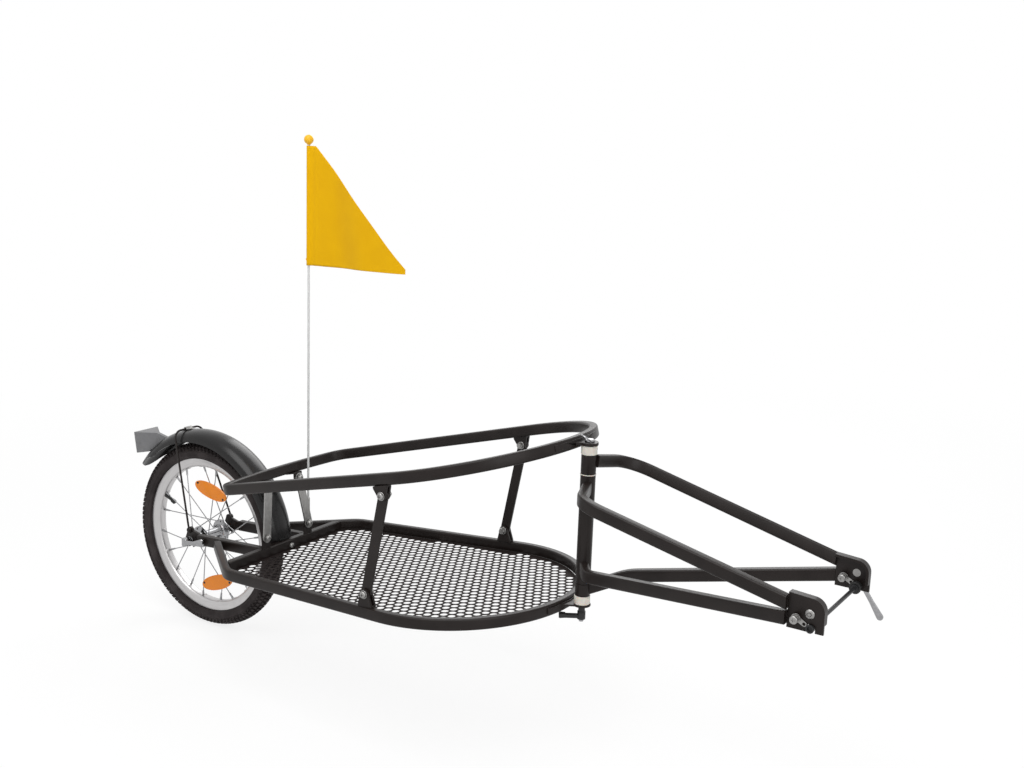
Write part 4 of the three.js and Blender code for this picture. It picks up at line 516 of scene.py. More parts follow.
class TRAILER_OT_stage(bpy.types.Operator):
    """Sets up the pale floor, the studio lamps and the camera"""

    bl_idname = "trailer.stage"
    bl_label = "Stage"

    def execute(self, context):
        scene = context.scene
        self.world(scene)
        self.floor(context)
        self.lamps(scene)
        lens = bpy.data.cameras.new("Studio camera")
        lens.sensor_width = 36.0
        lens.lens = 44.173
        lens.shift_x = -0.03258
        lens.shift_y = -0.00628
        lens.clip_end = 60.0
        camera = bpy.data.objects.new("Studio camera", lens)
        camera.location = (0.53559, -1.74017, 0.69404)
        camera.rotation_euler = Euler([math.radians(a) for a in (78.293, -2.291, 31.729)])
        scene.collection.objects.link(camera)
        scene.camera = camera
        scene.view_settings.view_transform = "Standard"
        return {"FINISHED"}

    def world(self, scene):
        """A white surround for the camera and for gloss, and a softer light on the object."""
        world = bpy.data.worlds.new("Studio")
        world.use_nodes = True
        scene.world = world
        made = Nodes(world.node_tree)
        light = made.tree.nodes["Background"]
        made.put(light, "Color", (1, 1, 1, 1))
        strength = made.node("ShaderNodeMapRange", None, {"Value": made.seen(), "To Min": SOFT_LIGHT})
        made.put(light, "Strength", strength)

    def floor(self, context):
        radius = 14.0
        rings = 48
        verts = [(radius * math.cos(2 * math.pi * k / rings), radius * math.sin(2 * math.pi * k / rings), 0)
                 for k in range(rings)]
        mesh = bpy.data.meshes.new("Studio floor")
        mesh.from_pydata(verts, [], [list(range(rings))])
        floor = bpy.data.objects.new("Studio floor", mesh)
        floor.location = GROUND
        context.scene.collection.objects.link(floor)
        made = Finish("Studio floor")
        made.color(tuple(settings().floor_color)).rough(0.9)
        reach = made.node("ShaderNodeVectorMath", {"operation": "LENGTH"}, {0: made.place()}, output=1)
        glow = made.node("ShaderNodeEmission", None, {"Color": (1, 1, 1, 1), "Strength": 1.0})
        share = made.seen() * (reach.ramp(*FLOOR_FADE) * (1 - FLOOR_WHITE) + FLOOR_WHITE)
        mixed = made.node("ShaderNodeMixShader", None,
                          {0: share, 1: Wire(made, made.shader.outputs[0]), 2: glow})
        made.put(made.tree.nodes["Material Output"], "Surface", mixed)
        mesh.materials.append(made.material)

    def lamps(self, scene):
        aim = Vector((-0.55, 0, 0.0))
        for name, place, size, power in (
                ("Key softbox", (-0.6, -1.2, 2.6), 2.4, 62.0),
                ("Fill softbox", (2.2, -1.6, 1.2), 1.8, 24.0),
                ("Back softbox", (-1.6, 2.4, 1.8), 2.0, 40.0)):
            lamp = bpy.data.lights.new(name, "AREA")
            lamp.size = size
            lamp.energy = power
            made = bpy.data.objects.new(name, lamp)
            made.location = place
            made.rotation_euler = (aim - Vector(place)).to_track_quat("-Z", "Y").to_euler()
            scene.collection.objects.link(made)


class TRAILER_OT_finishes(bpy.types.Operator):
    """Gives every node of the frame the finish of its slot"""

    bl_idname = "trailer.finishes"
    bl_label = "Frame finishes"

    def execute(self, context):
        for name, node in NODES.items():
            node.data.materials.clear()
            node.data.materials.append(finish_of(SLOTS[name]))
        return {"FINISHED"}


# Plan of the frame, in millimetres: the deck's loop and the ring's, each from its nose
HEAD_X = 872.1
DECK_TOP = 16.5
NOSE_RADIUS = 222.0
NOSE_CENTRE = 629.0
DECK_SIDE = math.radians(4.4)
CORNER_X = 232.0
CORNER_BEND = 60.0
STAY_OUTER = 63.5
TAIL_X = 70.9
TUBE_WIDTH = 15.0
TUBE_HEIGHT = 20.0
WELD = 0.7
CROSSBAR_FRONT = 212.0
GAP = 0.3
RING_TILT = math.radians(11.31)
RING_SIDE = math.radians(6.3)
RING_NOSE_X = 873.8
RING_NOSE_TOP = 298.0
RING_RADIUS = 215.0
RING_CENTRE = RING_NOSE_X / math.cos(RING_TILT) - RING_RADIUS
RING_REAR_X = 177.5
RING_REAR_RADIUS = 520.0
RING_REAR_CENTRE = RING_REAR_X / math.cos(RING_TILT) + RING_REAR_RADIUS
RING_BEND = 42.0
STRUT_FOOT = (582.7, 38.6)
STRUT_TOP = (627.1, 211.9)
SUPPORT_TOP = (209.2, 42.5, 133.5)
SUPPORT_FOOT = (214.0, 58.0, 38.0)
SUPPORT_LEAN = (SUPPORT_FOOT[0] - SUPPORT_TOP[0]) / (SUPPORT_TOP[2] - SUPPORT_FOOT[2])
SUPPORT_HALF = 1.5
SUPPORT_END = 9.5


def side_half(x, centre, radius, side):
    """Half width of a loop at x, where its side runs straight back from the nose's round."""
    return (radius + (x - centre) * math.sin(side)) / math.cos(side)


def deck_half(x, inset=0.0):
    return side_half(x, NOSE_CENTRE, NOSE_RADIUS - inset, DECK_SIDE)


INCLINE = math.atan2(deck_half(CORNER_X) - STAY_OUTER, CORNER_X - TAIL_X)


def deck_corner(inset):
    side = Vector((-math.sin(DECK_SIDE), math.cos(DECK_SIDE)))
    slope = Vector((-math.sin(INCLINE), math.cos(INCLINE)))
    return Vector((CORNER_X, deck_half(CORNER_X))) + (side + slope) * (-inset / (1 + side.dot(slope)))


def incline_half(x, inset):
    corner = deck_corner(inset)
    return corner.y - (corner.x - x) * math.tan(INCLINE)


def deck_loop(inset, tail, z):
    """The rail's line, moved in by inset, from its right tail round the nose to its left one."""
    corner = deck_corner(inset)
    tail_x = corner.x - (corner.y - tail) / math.tan(INCLINE)
    reach = 90 + math.degrees(DECK_SIDE)
    nose = arc(NOSE_CENTRE, 0, NOSE_RADIUS - inset, -reach, reach, 64)
    return route([(Vector((tail_x, -tail, z)), 0), (Vector((corner.x, -corner.y, z)), CORNER_BEND - inset),
                  *[(Vector((x, y, z)), 0) for x, y in nose],
                  (Vector((corner.x, corner.y, z)), CORNER_BEND - inset), (Vector((tail_x, tail, z)), 0)])


def ring_top(x):
    return RING_NOSE_TOP + (x - RING_NOSE_X) * math.tan(RING_TILT)


def ring_under(x):
    return ring_top(x) - TUBE_HEIGHT / math.cos(RING_TILT)


def ring_point(s, y):
    """A point of the ring's plane, s along its slope."""
    x = s * math.cos(RING_TILT)
    return Vector((x, y, ring_top(x)))


def ring_path():
    """The ring's line: round the nose, along a side, round the rear and back."""
    side = math.degrees(RING_SIDE)
    half = side_half(0, RING_CENTRE, RING_RADIUS - RING_BEND, RING_SIDE)
    slope = math.tan(RING_SIDE)
    a = 1 + slope * slope
    b = half * slope - RING_REAR_CENTRE
    c = RING_REAR_CENTRE ** 2 + half ** 2 - (RING_REAR_RADIUS - RING_BEND) ** 2
    s = (-b - math.sqrt(b * b - a * c)) / a
    y = half + slope * s
    turn = math.degrees(math.atan2(y, s - RING_REAR_CENTRE))
    plan = [*arc(RING_CENTRE, 0, RING_RADIUS, -90 - side, 90 + side, 64),
            *arc(s, y, RING_BEND, 90 + side, turn, 16),
            *arc(RING_REAR_CENTRE, 0, RING_REAR_RADIUS, turn, 360 - turn, 24)[1:-1],
            *arc(s, -y, RING_BEND, 360 - turn, 270 - side, 16)]
    return [ring_point(*p) for p in plan]


RING_UP = Vector((-math.sin(RING_TILT), 0, math.cos(RING_TILT)))
RING_STRUT_HALF = side_half(STRUT_TOP[0] / math.cos(RING_TILT), RING_CENTRE, RING_RADIUS, RING_SIDE)
CLEVIS_HALF = 6.5
STRUT_PLANE = (deck_half(STRUT_FOOT[0]) + RING_STRUT_HALF - TUBE_WIDTH) / 2


def clevises(stock, x, z, height, tilt=0.0, hanging=False):
    """The U brackets of one level, one at each side, that the struts are bolted in."""
    half, cheek, slot, base, eye = 14.5, CLEVIS_HALF, 2.3, 3.0, 9.0
    sheet = [(-half, -WELD), (half, -WELD), (half, base), *arc(0, height, eye, 0, 180, 16), (-half, base)]
    web = [(-half, -WELD), (half, -WELD), (half, base), (-half, base)]
    for side in (-1, 1):
        place = Matrix.Translation((x, side * STRUT_PLANE, z)) @ Matrix.Rotation(-tilt, 4, "Y")
        if hanging:
            place = place @ turn_of(180, "X")
        stock.prism(sheet, -cheek, -slot, place)
        stock.prism(sheet, slot, cheek, place)
        stock.prism(web, -slot - GAP, slot + GAP, place)


class TRAILER_OT_loops(bpy.types.Operator):
    """Makes the deck's rail and the upper ring, with their brackets"""

    bl_idname = "trailer.loops"
    bl_label = "Rail and ring"

    def execute(self, context):
        rail = Stock()
        slim = 0.7
        tail = STAY_OUTER + GAP + TUBE_WIDTH * math.cos(INCLINE)
        rail.sweep(tube_outline(TUBE_WIDTH - slim), deck_loop(slim, tail, DECK_TOP), UP)
        clevises(rail, STRUT_FOOT[0], DECK_TOP, STRUT_FOOT[1] - DECK_TOP)
        piece("deck_rail_fine", rail, DECK_MM, ("deck_rail",), edges=0.5)

        ring = Stock()
        ring.sweep(tube_outline(), ring_path(), RING_UP, True)
        drop = (ring_under(STRUT_TOP[0]) - STRUT_TOP[1]) * math.cos(RING_TILT)
        clevises(ring, STRUT_TOP[0] - drop * math.sin(RING_TILT), STRUT_TOP[1] + drop * math.cos(RING_TILT),
                 drop, RING_TILT, True)
        self.angles(ring)
        piece("upper_ring_fine", ring, DECK_MM, ("upper_ring",), edges=0.5)
        return {"FINISHED"}

    def angles(self, stock):
        """The two angles under the ring's rear, for the rear supports."""
        thick, half = 2.6, 11
        front = SUPPORT_TOP[0] - SUPPORT_HALF - GAP - SUPPORT_LEAN * SUPPORT_END
        back, rear, bottom = front - thick, RING_REAR_X + TUBE_WIDTH / 2, SUPPORT_TOP[2] - SUPPORT_END
        outline = [(front, bottom)]
        outline += [(x, ring_under(x) + WELD) for x in (front, rear)]
        outline += [(x, ring_under(x) + WELD - thick) for x in (rear, back)]
        outline.append((back, bottom))
        for side in (-1, 1):
            stock.prism(outline, side * SUPPORT_TOP[1] - half, side * SUPPORT_TOP[1] + half)


class TRAILER_OT_deck_sheet(bpy.types.Operator):
    """Makes the deck's perforated sheet"""

    bl_idname = "trailer.deck_sheet"
    bl_label = "Deck sheet"

    rim = 3.4
    low, high = -2.6, -1.5
    sides = 14
    cell = 20

    def execute(self, context):
        inset = TUBE_WIDTH + GAP
        front = CROSSBAR_FRONT + GAP
        half = incline_half(front, inset)
        edge = [(p.x, p.y) for p in deck_loop(inset, STAY_OUTER, 0) if p.x > front]
        outline = [(front, -half), *edge, (front, half)]
        radius = settings().hole_diameter / MM / 2
        centres = self.centres(settings().hole_pitch / MM, front, inset, radius + self.rim)
        points = list(outline)
        edges = [(k, (k + 1) % len(outline)) for k in range(len(outline))]
        for x, y in centres:
            start = len(points)
            points += circle(radius, self.sides, x, y)
            edges += [(start + k, start + (k + 1) % self.sides) for k in range(self.sides)]
        made = delaunay_2d_cdt([Vector(p) for p in points], edges, [], 1, 0.0001)
        places, faces = made[0], made[2]
        lookup = self.cells_and_facet_shade(centres)
        kept = [list(face) for face in faces if not self.inside(places, face, lookup, radius)]
        stock = self.thick(places, kept, self.low, self.high)
        piece("deck_sheet_fine", stock, DECK_MM, ("deck_sheet",), crease=50, finish="sheet_coat")
        return {"FINISHED"}

    def centres(self, pitch, front, inset, reach):
        """The holes' middles: rows along the deck, every second one moved by half a pitch."""
        start = Vector((511.5, -25.6))
        found = []
        for row in range(-30, 31):
            y = start.y + row * pitch * math.sqrt(3) / 2
            for k in range(-40, 41):
                x = start.x + (k + row % 2 / 2) * pitch
                if x < front + reach:
                    continue
                limit = min(deck_half(x, inset), incline_half(x, inset)) - reach
                if x > NOSE_CENTRE:
                    limit = math.sqrt(max(0, (NOSE_RADIUS - inset - reach) ** 2 - (x - NOSE_CENTRE) ** 2))
                if abs(y) < limit:
                    found.append((x, y))
        return found

    def cells_and_facet_shade(self, centres):
        lookup = {}
        for x, y in centres:
            lookup.setdefault((int(x // self.cell), int(y // self.cell)), []).append((x, y))
        return lookup

    def inside(self, places, face, lookup, radius):
        """True for a face that fills a hole."""
        x = sum(places[k].x for k in face) / len(face)
        y = sum(places[k].y for k in face) / len(face)
        for i in (-1, 0, 1):
            for j in (-1, 0, 1):
                place = int(x // self.cell) + i, int(y // self.cell) + j
                for cx, cy in lookup.get(place, ()):
                    if math.hypot(x - cx, y - cy) < radius * 0.97:
                        return True
        return False

    def thick(self, places, faces, low, high):
        """The sheet's two faces, and a wall wherever an edge has one face only."""
        count = len(places)
        stock = Stock()
        walls = {}
        for face in faces:
            for a, b in zip(face, face[1:] + face[:1]):
                if (b, a) in walls:
                    del walls[b, a]
                else:
                    walls[a, b] = True
        stock.add([(p.x, p.y, high) for p in places] + [(p.x, p.y, low) for p in places],
                  faces + [[k + count for k in face[::-1]] for face in faces]
                  + [[b, a, a + count, b + count] for a, b in walls])
        return stock


# Wheel, about its axle
TYRE_MIDDLE = 168.0
CARCASS = (18.6, 20.6)
BOX_FACES = [[3, 2, 1, 0], [4, 5, 6, 7], [0, 1, 5, 4], [1, 2, 6, 5], [2, 3, 7, 6], [3, 0, 4, 7]]


def carcass_point(degrees, rise=0.0, out=0.0):
    """A point of the tyre's section as (radius, along the axle), raised off it and moved along it."""
    angle = math.radians(degrees)
    normal = Vector((math.cos(angle) / CARCASS[0], math.sin(angle) / CARCASS[1])).normalized()
    along = Vector((-normal.y, normal.x))
    base = Vector((TYRE_MIDDLE + CARCASS[0] * math.cos(angle), CARCASS[1] * math.sin(angle)))
    return base + normal * rise + along * out


class TRAILER_OT_wheel(bpy.types.Operator):
    """Makes the knobbly tyre, the rim, the hub with its spokes, the axle's nuts and the valve"""

    bl_idname = "trailer.wheel"
    bl_label = "Wheel"

    spokes = 20
    valve_at = 156.5

    def execute(self, context):
        self.tyre()
        self.rim()
        self.hub()
        self.axle()
        self.valve()
        return {"FINISHED"}

    def tyre(self):
        stock = Stock()
        section = []
        for degrees in range(-118, 119, 2):
            ridge = sum(math.exp(-((abs(degrees) - line) / 2.4) ** 2) for line in (76, 98))
            section.append(tuple(carcass_point(degrees, 0.5 * ridge)))
        section += [(158.8, 10.0), (152.2, 10.0), (152.2, -10.0), (158.8, -10.0)]
        stock.lathe(section, 144)
        knobs = 112
        rows = ((0, 3.5, 3.4, 0), (20, 3.2, 2.6, 0.5), (42, 3.5, 3.6, 0), (62, 2.6, 1.6, 0.5))
        for degrees, length, width, stagger in rows + tuple((-row[0], *row[1:]) for row in rows[1:]):
            for k in range(knobs):
                self.knob(stock, degrees, length, width, 360 * (k + stagger) / knobs)
        piece("tyre_fine", stock, WHEEL_MM, ("tyre",))

    def knob(self, stock, degrees, length, width, turn):
        verts = []
        for rise, shrink in ((-0.8, 0), (3.3, 0.6)):
            for x, y in ((-1, -1), (1, -1), (1, 1), (-1, 1)):
                radius, side = carcass_point(degrees, rise, y * (width - shrink))
                verts.append((radius, side, x * (length - shrink)))
        stock.add(verts, BOX_FACES, turn_of(turn, "Y"))

    def rim(self):
        half = [(149.6, 9.8), (150.0, 10.8), (157.9, 10.8), (158.5, 11.2), (158.5, 12.6), (158.1, 13.0),
                (151.2, 12.8), (149.6, 12.3), (146.0, 11.2), (142.6, 9.4), (140.7, 7.2), (140.0, 4.6)]
        stock = Stock()
        stock.lathe(half + [(r, -y) for r, y in reversed(half)], 160)
        for k in range(self.spokes):
            place = turn_of(360 * (k + 0.5) / self.spokes, "Y")
            side = -3.5 if k % 2 == 0 else 3.5
            collar = [(0, 139.2), (3.0, 139.2), (3.4, 139.6), (3.4, 140.6), (0, 140.6)]
            stock.lathe(collar, 12, place @ Matrix.Translation((0, side, 0)) @ turn_of(-90, "Z"))
        piece("rim_fine", stock, WHEEL_MM, ("rim",))

    def hub(self):
        half = [(5.4, 49.0), (9.0, 49.0), (9.5, 48.5), (9.5, 35.0), (10.2, 33.4), (13.6, 31.0), (15.6, 30.0),
                (21.2, 29.7), (21.8, 29.4), (22.0, 28.8), (22.0, 27.2), (21.8, 26.6), (21.2, 26.3),
                (15.4, 26.0), (12.6, 25.0), (10.6, 22.6), (9.4, 18.5), (8.8, 12.0), (8.6, 5.0)]
        stock = Stock()
        stock.lathe(half + [(r, -y) for r, y in reversed(half)], 72)
        radius = settings().spoke_diameter / MM / 2
        for k in range(self.spokes):
            side = 1 if k % 2 else -1
            pair = 1 if k // 2 % 2 else -1
            at_rim = 2 * math.pi * (k + 0.5) / self.spokes
            at_hub = at_rim + pair * math.pi * 0.42
            start = Vector((18.5 * math.cos(at_hub), side * (28 + pair * 2.4), 18.5 * math.sin(at_hub)))
            end = Vector((139.6 * math.cos(at_rim), side * 3.5, 139.6 * math.sin(at_rim)))
            along = (end - start).normalized()
            stock.rod(start - along * 0.6, end, radius, 10)
            stock.rod(end - along * 12.5, end, 1.7, 12, 2.3)
            out = Vector((0, pair * side, 0))
            stock.rod(start - out * 1.0, start + out * 1.4, 2.1, 12)
        piece("hub_and_spokes_fine", stock, WHEEL_MM, ("hub_and_spokes",))

    def axle(self):
        stock = Stock()
        stock.rod(Vector((0, -60.6, 0)), Vector((0, 60.6, 0)), 4.7, 32)
        for side in (-1, 1):
            stock.rod(Vector((0, side * 55.3, 0)), Vector((0, side * 56.4, 0)), 8.0, 40)
            stock.rod(Vector((0, side * 56.2, 0)), Vector((0, side * 60.8, 0)), 7.9, 6)
            for k in range(5):
                y = side * (30 + k * 4)
                stock.lathe([(4.6, y - 0.5), (4.9, y), (4.6, y + 0.5)], 32)
        piece("wheel_axle_fine", stock, WHEEL_MM, ("wheel_axle",), edges=0.4)
        refined("wheel_release_lever", 0.7)

    def valve(self):
        stock = Stock()
        stem = [(0, 140.5), (4.6, 140.5), (4.2, 137.0), (3.8, 133.0), (3.4, 125.0), (3.2, 122.4),
                (3.2, 121.6)]
        cap = [(4.3, 121.6), (4.6, 121.2), (4.6, 114.4), (4.1, 113.2), (2.4, 113.0), (0, 113.0)]
        stock.lathe(stem + cap, 14)
        place = WHEEL_MM @ turn_of(90 - self.valve_at, "Y") @ turn_of(90, "X")
        piece("valve_fine", stock, place, ("valve",), crease=24)


class TRAILER_OT_spoke_reflectors(bpy.types.Operator):
    """Makes the two amber reflectors between the spokes, each with its screws"""

    bl_idname = "trailer.spoke_reflectors"
    bl_label = "Spoke reflectors"

    half_length, half_height, fullness = 43.5, 15.4, 0.94
    steps = ((0.97, -15.1), (1.0, -15.6), (1.0, -18.2), (0.975, -18.7), (0.9, -18.7), (0.88, -18.3))

    def execute(self, context):
        for name, degrees in (("upper", 79), ("lower", -70)):
            place = WHEEL_MM @ turn_of(90 - degrees, "Y") @ Matrix.Translation((0, 0, 99))
            node = f"spoke_reflector_{name}"
            outline = self.outline()
            stock = Stock()
            stock.loops([[(x * share, y, z * share) for x, z in outline] for share, y in self.steps])
            lens = stock.faces.pop()
            middle = len(stock.verts)
            stock.verts.append(Vector((0, -19.1, 0)))
            stock.faces += [[a, b, middle] for a, b in zip(lens, lens[1:] + lens[:1])]
            piece(f"{node}_lens", stock, place, (node,), crease=3)
            screws = Stock()
            for x, z in ((-36.5, 4.5), (36.5, -4.5)):
                head = [(0, -19.4), (1.6, -19.4), (2.4, -19.0), (2.6, -18.2), (0, -18.2)]
                screws.lathe(head, 20, Matrix.Translation((x, 0, z)))
            piece(f"{node}_screws", screws, place, like=node, slot="dark_plastic")
        return {"FINISHED"}

    def outline(self):
        """An oval, a little fuller than an ellipse."""
        points = []
        for x, z in circle(1, 64):
            points.append((self.half_length * math.copysign(abs(x) ** self.fullness, x),
                           self.half_height * math.copysign(abs(z) ** self.fullness, z)))
        return points


# Fender, round a centre near the axle
FENDER_RADIUS = 211.0


def fender_point(degrees, radius, y=0.0):
    angle = math.radians(degrees)
    return Vector((-5 + radius * math.cos(angle), y, 5 + radius * math.sin(angle)))


class TRAILER_OT_fender(bpy.types.Operator):
    """Makes the fender, its wire stay with eyes and screws, the clip and the rear reflector"""

    bl_idname = "trailer.fender"
    bl_label = "Fender"

    # In degrees round the fender's middle: its front end, its full section's length, its narrowing tail
    front, length, tail = 4.5, 124.5, 17
    stay_at, stay_half, stay_foot, stay_eye = 101.5, 38, 21.2, 57.0

    def execute(self, context):
        stations = [(self.front + self.length * k / 80, 1.0) for k in range(81)]
        round_off = 0.9 * math.pi / 2
        reach = math.sin(round_off)
        for k in range(1, 17):
            turn = round_off * k / 16
            stations.append((self.front + self.length + self.tail * math.sin(turn) / reach, math.cos(turn)))
        shell = Stock()
        shell.loops([self.section(*station) for station in stations])
        tab = [(194.1, -5.2), (196.7, -5.2), (196.7, 16.8), (204.7, 16.8), (204.7, 22.0), (194.1, 19.4)]
        shell.prism(tab, -13, 13)
        piece("fender_fine", shell, DECK_MM, ("fender",), edges=0.5)
        self.stay()
        refined("fender_clip", 0.4)
        refined("rear_reflector", 0.7)
        return {"FINISHED"}

    def section(self, degrees, share):
        """The section at one place: out along the crown, back along the inside."""
        points = []
        for half, depth, crown, order in ((31.0, 22.0, 0.0, 1), (28.4, 19.4, -2.6, -1)):
            start = math.acos(share)
            line = []
            for k in range(33):
                angle = start + (math.pi - 2 * start) * k / 32
                rise = max(0.0, math.sin(angle)) ** 0.8
                radius = FENDER_RADIUS + crown - depth + depth * rise
                line.append(fender_point(degrees, radius, half * math.cos(angle)))
            points += line[::order]
        return points

    def stay(self):
        low, high, half = FENDER_RADIUS - 22, FENDER_RADIUS + 2.3, self.stay_half
        eye, foot = self.stay_eye, self.stay_foot
        path = route([(Vector((0, -eye, foot)), 0), (fender_point(self.stay_at, low, -half), 54),
                      (fender_point(self.stay_at, high, -half), 18),
                      (fender_point(self.stay_at, high, half), 18),
                      (fender_point(self.stay_at, low, half), 54), (Vector((0, eye, foot)), 0)])
        stock = Stock()
        stock.sweep(circle(2.0, 14), path, (path[1] - path[0]).cross(ACROSS).normalized())
        for side in (-1, 1):
            spot = Matrix.Translation((0, 0, foot)) @ (turn_of(180, "Z") if side > 0 else Matrix())
            ring = [(2.6, -55.3), (5.2, -55.3), (5.6, -55.7), (5.6, -58.3), (5.2, -58.7), (2.6, -58.7)]
            stock.lathe(ring, 32, spot)
            screw = [(0, -60.4), (2.6, -60.4), (3.7, -59.9), (4.2, -58.6), (2.1, -58.5), (2.1, -49.8),
                     (0, -49.8)]
            stock.lathe(screw, 28, spot)
        piece("fender_stay_fine", stock, DECK_MM, ("fender_stay",))


class TRAILER_OT_flag(bpy.types.Operator):
    """Makes the pole, its joint and ball, and the flag's cloth with a sleeve round the pole"""

    bl_idname = "trailer.flag"
    bl_label = "Flag"

    def execute(self, context):
        low, high = (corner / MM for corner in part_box("flag_pole"))
        x, y = (low.x + high.x) / 2, (low.y + high.y) / 2
        place = Matrix.Scale(MM, 4) @ Matrix.Translation((x, y, 0))
        up = place @ turn_of(90, "X")
        pole = Stock()
        pole.lathe([(0, low.z), (2.0, low.z), (2.25, low.z + 0.4), (2.25, high.z), (0, high.z)], 28)
        piece("flag_pole_fine", pole, up, ("flag_pole",))
        bottom, top = (corner.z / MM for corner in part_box("pole_ferrule"))
        ferrule = Stock()
        ferrule.lathe([(2.45, bottom), (3.1, bottom), (3.3, bottom + 0.4), (3.3, top - 1.2),
                       (3.0, top - 0.5), (2.45, top)], 32)
        for share in (0.12, 0.5, 0.88):
            z = bottom + (top - bottom) * share
            ferrule.lathe([(3.2, z - 0.8), (3.5, z - 0.4), (3.5, z + 0.4), (3.2, z + 0.8)], 32)
        piece("pole_ferrule_fine", ferrule, up, ("pole_ferrule",))
        ball = Stock()
        middle = high.z + 4.5
        ball.lathe([(2.5, middle - 9.6), (3.4, middle - 9.6), (3.6, middle - 8.4),
                    *[(9 * math.cos(math.radians(a)), middle + 9 * math.sin(math.radians(a)))
                      for a in range(-66, 88, 6)], (0, middle + 9), (0, middle - 4), (2.5, middle - 4)], 48)
        piece("pole_finial_fine", ball, up, ("pole_finial",))
        self.cloth(place)
        return {"FINISHED"}

    def cloth(self, place):
        """One sheet: a hem behind, round the pole, and out to the tip."""
        low, high = (corner.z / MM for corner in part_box("flag"))
        sleeve, hem, length, flat_top = 4.0, 17.0, 231.4, 18.0
        tip, rise_at_tip, gap = 13.5, 4.5, 84
        plan = [(hem - k * 1.3, 1.1 + 1.6 * (k / 9) ** 2) for k in range(9)]
        plan += arc(0, 0, sleeve, gap / 2, 360 - gap / 2, 26)
        start = len(plan)
        steps = 72
        for k in range(1, steps + 1):
            share = k / steps
            plan.append((sleeve * 0.75 + (length - sleeve * 0.75) * share, None))
        rows = 56
        verts = []
        for j in range(rows + 1):
            rise = j / rows
            for i, (x, y) in enumerate(plan):
                top, foot = high, low
                if i > start:
                    top = high - max(0.0, (x - flat_top) / (length - flat_top)) * (high - low - tip)
                    foot = low + rise_at_tip * x / length
                z = foot + (top - foot) * rise
                verts.append((x, self.billow(x, z - low) if y is None else y, z))
        count = len(plan)
        faces = [[j * count + i, j * count + i + 1, (j + 1) * count + i + 1, (j + 1) * count + i]
                 for j in range(rows) for i in range(count - 1)]
        mesh = bpy.data.meshes.new("flag_cloth")
        mesh.from_pydata([tuple(place @ Vector(v)) for v in verts], [], faces)
        made = dressed("flag_cloth", mesh, "flag", ("flag",), 0.0, "flag")
        made.parent = None
        solid = made.modifiers.new("Thickness", "SOLIDIFY")
        solid.thickness = 0.35 * MM
        solid.offset = 0.0
        applied(made)
        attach(made, BODIES["flag"])
        knot = Stock()
        knot.lathe([(0, -1.3), (1.6, -1.3), (2.4, -0.6), (2.4, 0.6), (1.6, 1.3), (0, 1.3)], 20)
        spot = place @ Matrix.Translation((-4.6, 0, low + 11)) @ turn_of(90, "Z")
        piece("flag_eyelet", knot, spot, like="flag", slot="yellow_plastic")

    def billow(self, x, z):
        """How far the cloth stands to the side: soft upright folds that fan out from the pole."""
        reach = min(1.0, max(0.0, (x - 6) / 60))
        seam = 1.1 * math.exp(-((x - 17) / 2.2) ** 2)
        lean = x + z * 0.16
        fold = 2.6 * math.sin(lean / 31) + 1.2 * math.sin(lean / 13.5 + 1.4)
        wave = 4.4 * math.sin(x / 232 * 2 * math.pi) * x / 232
        return -3.0 * max(0.0, 1 - x / 12) + wave + fold * reach * (0.55 + 0.45 * math.cos(z / 150)) - seam


class TRAILER_OT_head(bpy.types.Operator):
    """Makes the head's tube, sleeves, washer and spacers, the lugs and the pin"""

    bl_idname = "trailer.head"
    bl_label = "Head"

    # Each spacer's flange, up from its collar or down from it
    flanges = (("top_spacer", 15.4), ("bottom_spacer", -14.8))

    def execute(self, context):
        for node, bore, round_off in (("head_tube", 10.5, 0.5), ("upper_sleeve", 10.5, 0.5),
                                      ("lower_sleeve", 10.5, 0.5), ("hinge_washer", 6.5, 0.3)):
            low, high = (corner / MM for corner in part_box(node))
            radius = (high.x - low.x) / 2
            self.ring(node, bore, radius, low.z, high.z, round_off)
        for node, flange in self.flanges:
            low, high = (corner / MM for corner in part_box(node))
            radius = (high.x - low.x) / 2
            bottom, top = (high.z - flange, high.z) if flange > 0 else (low.z, low.z - flange)
            self.ring(node, 6.4, radius, bottom, top, 1.2)
        for node, edge in (("top_lug", 0.7), ("bottom_lug", 0.5), ("swivel_pin", 0), ("clamp_lever", 0.35),
                           ("pin_bail", 0.2)):
            refined(node, edge)
        return {"FINISHED"}

    def ring(self, node, bore, radius, low, high, corner):
        place = Matrix.Scale(MM, 4) @ Matrix.Translation((HEAD_X - HITCH_X / MM, 0, 0)) @ turn_of(90, "X")
        edge = [(radius - corner + corner * math.cos(a), corner * math.sin(a))
                for a in (math.radians(15 * k) for k in range(7))]
        outline = [(bore, low), *[(r, low + corner - z) for r, z in reversed(edge)],
                   *[(r, high - corner + z) for r, z in edge], (bore, high)]
        stock = Stock()
        stock.lathe(outline, 72)
        piece(f"{node}_fine", stock, place, (node,))


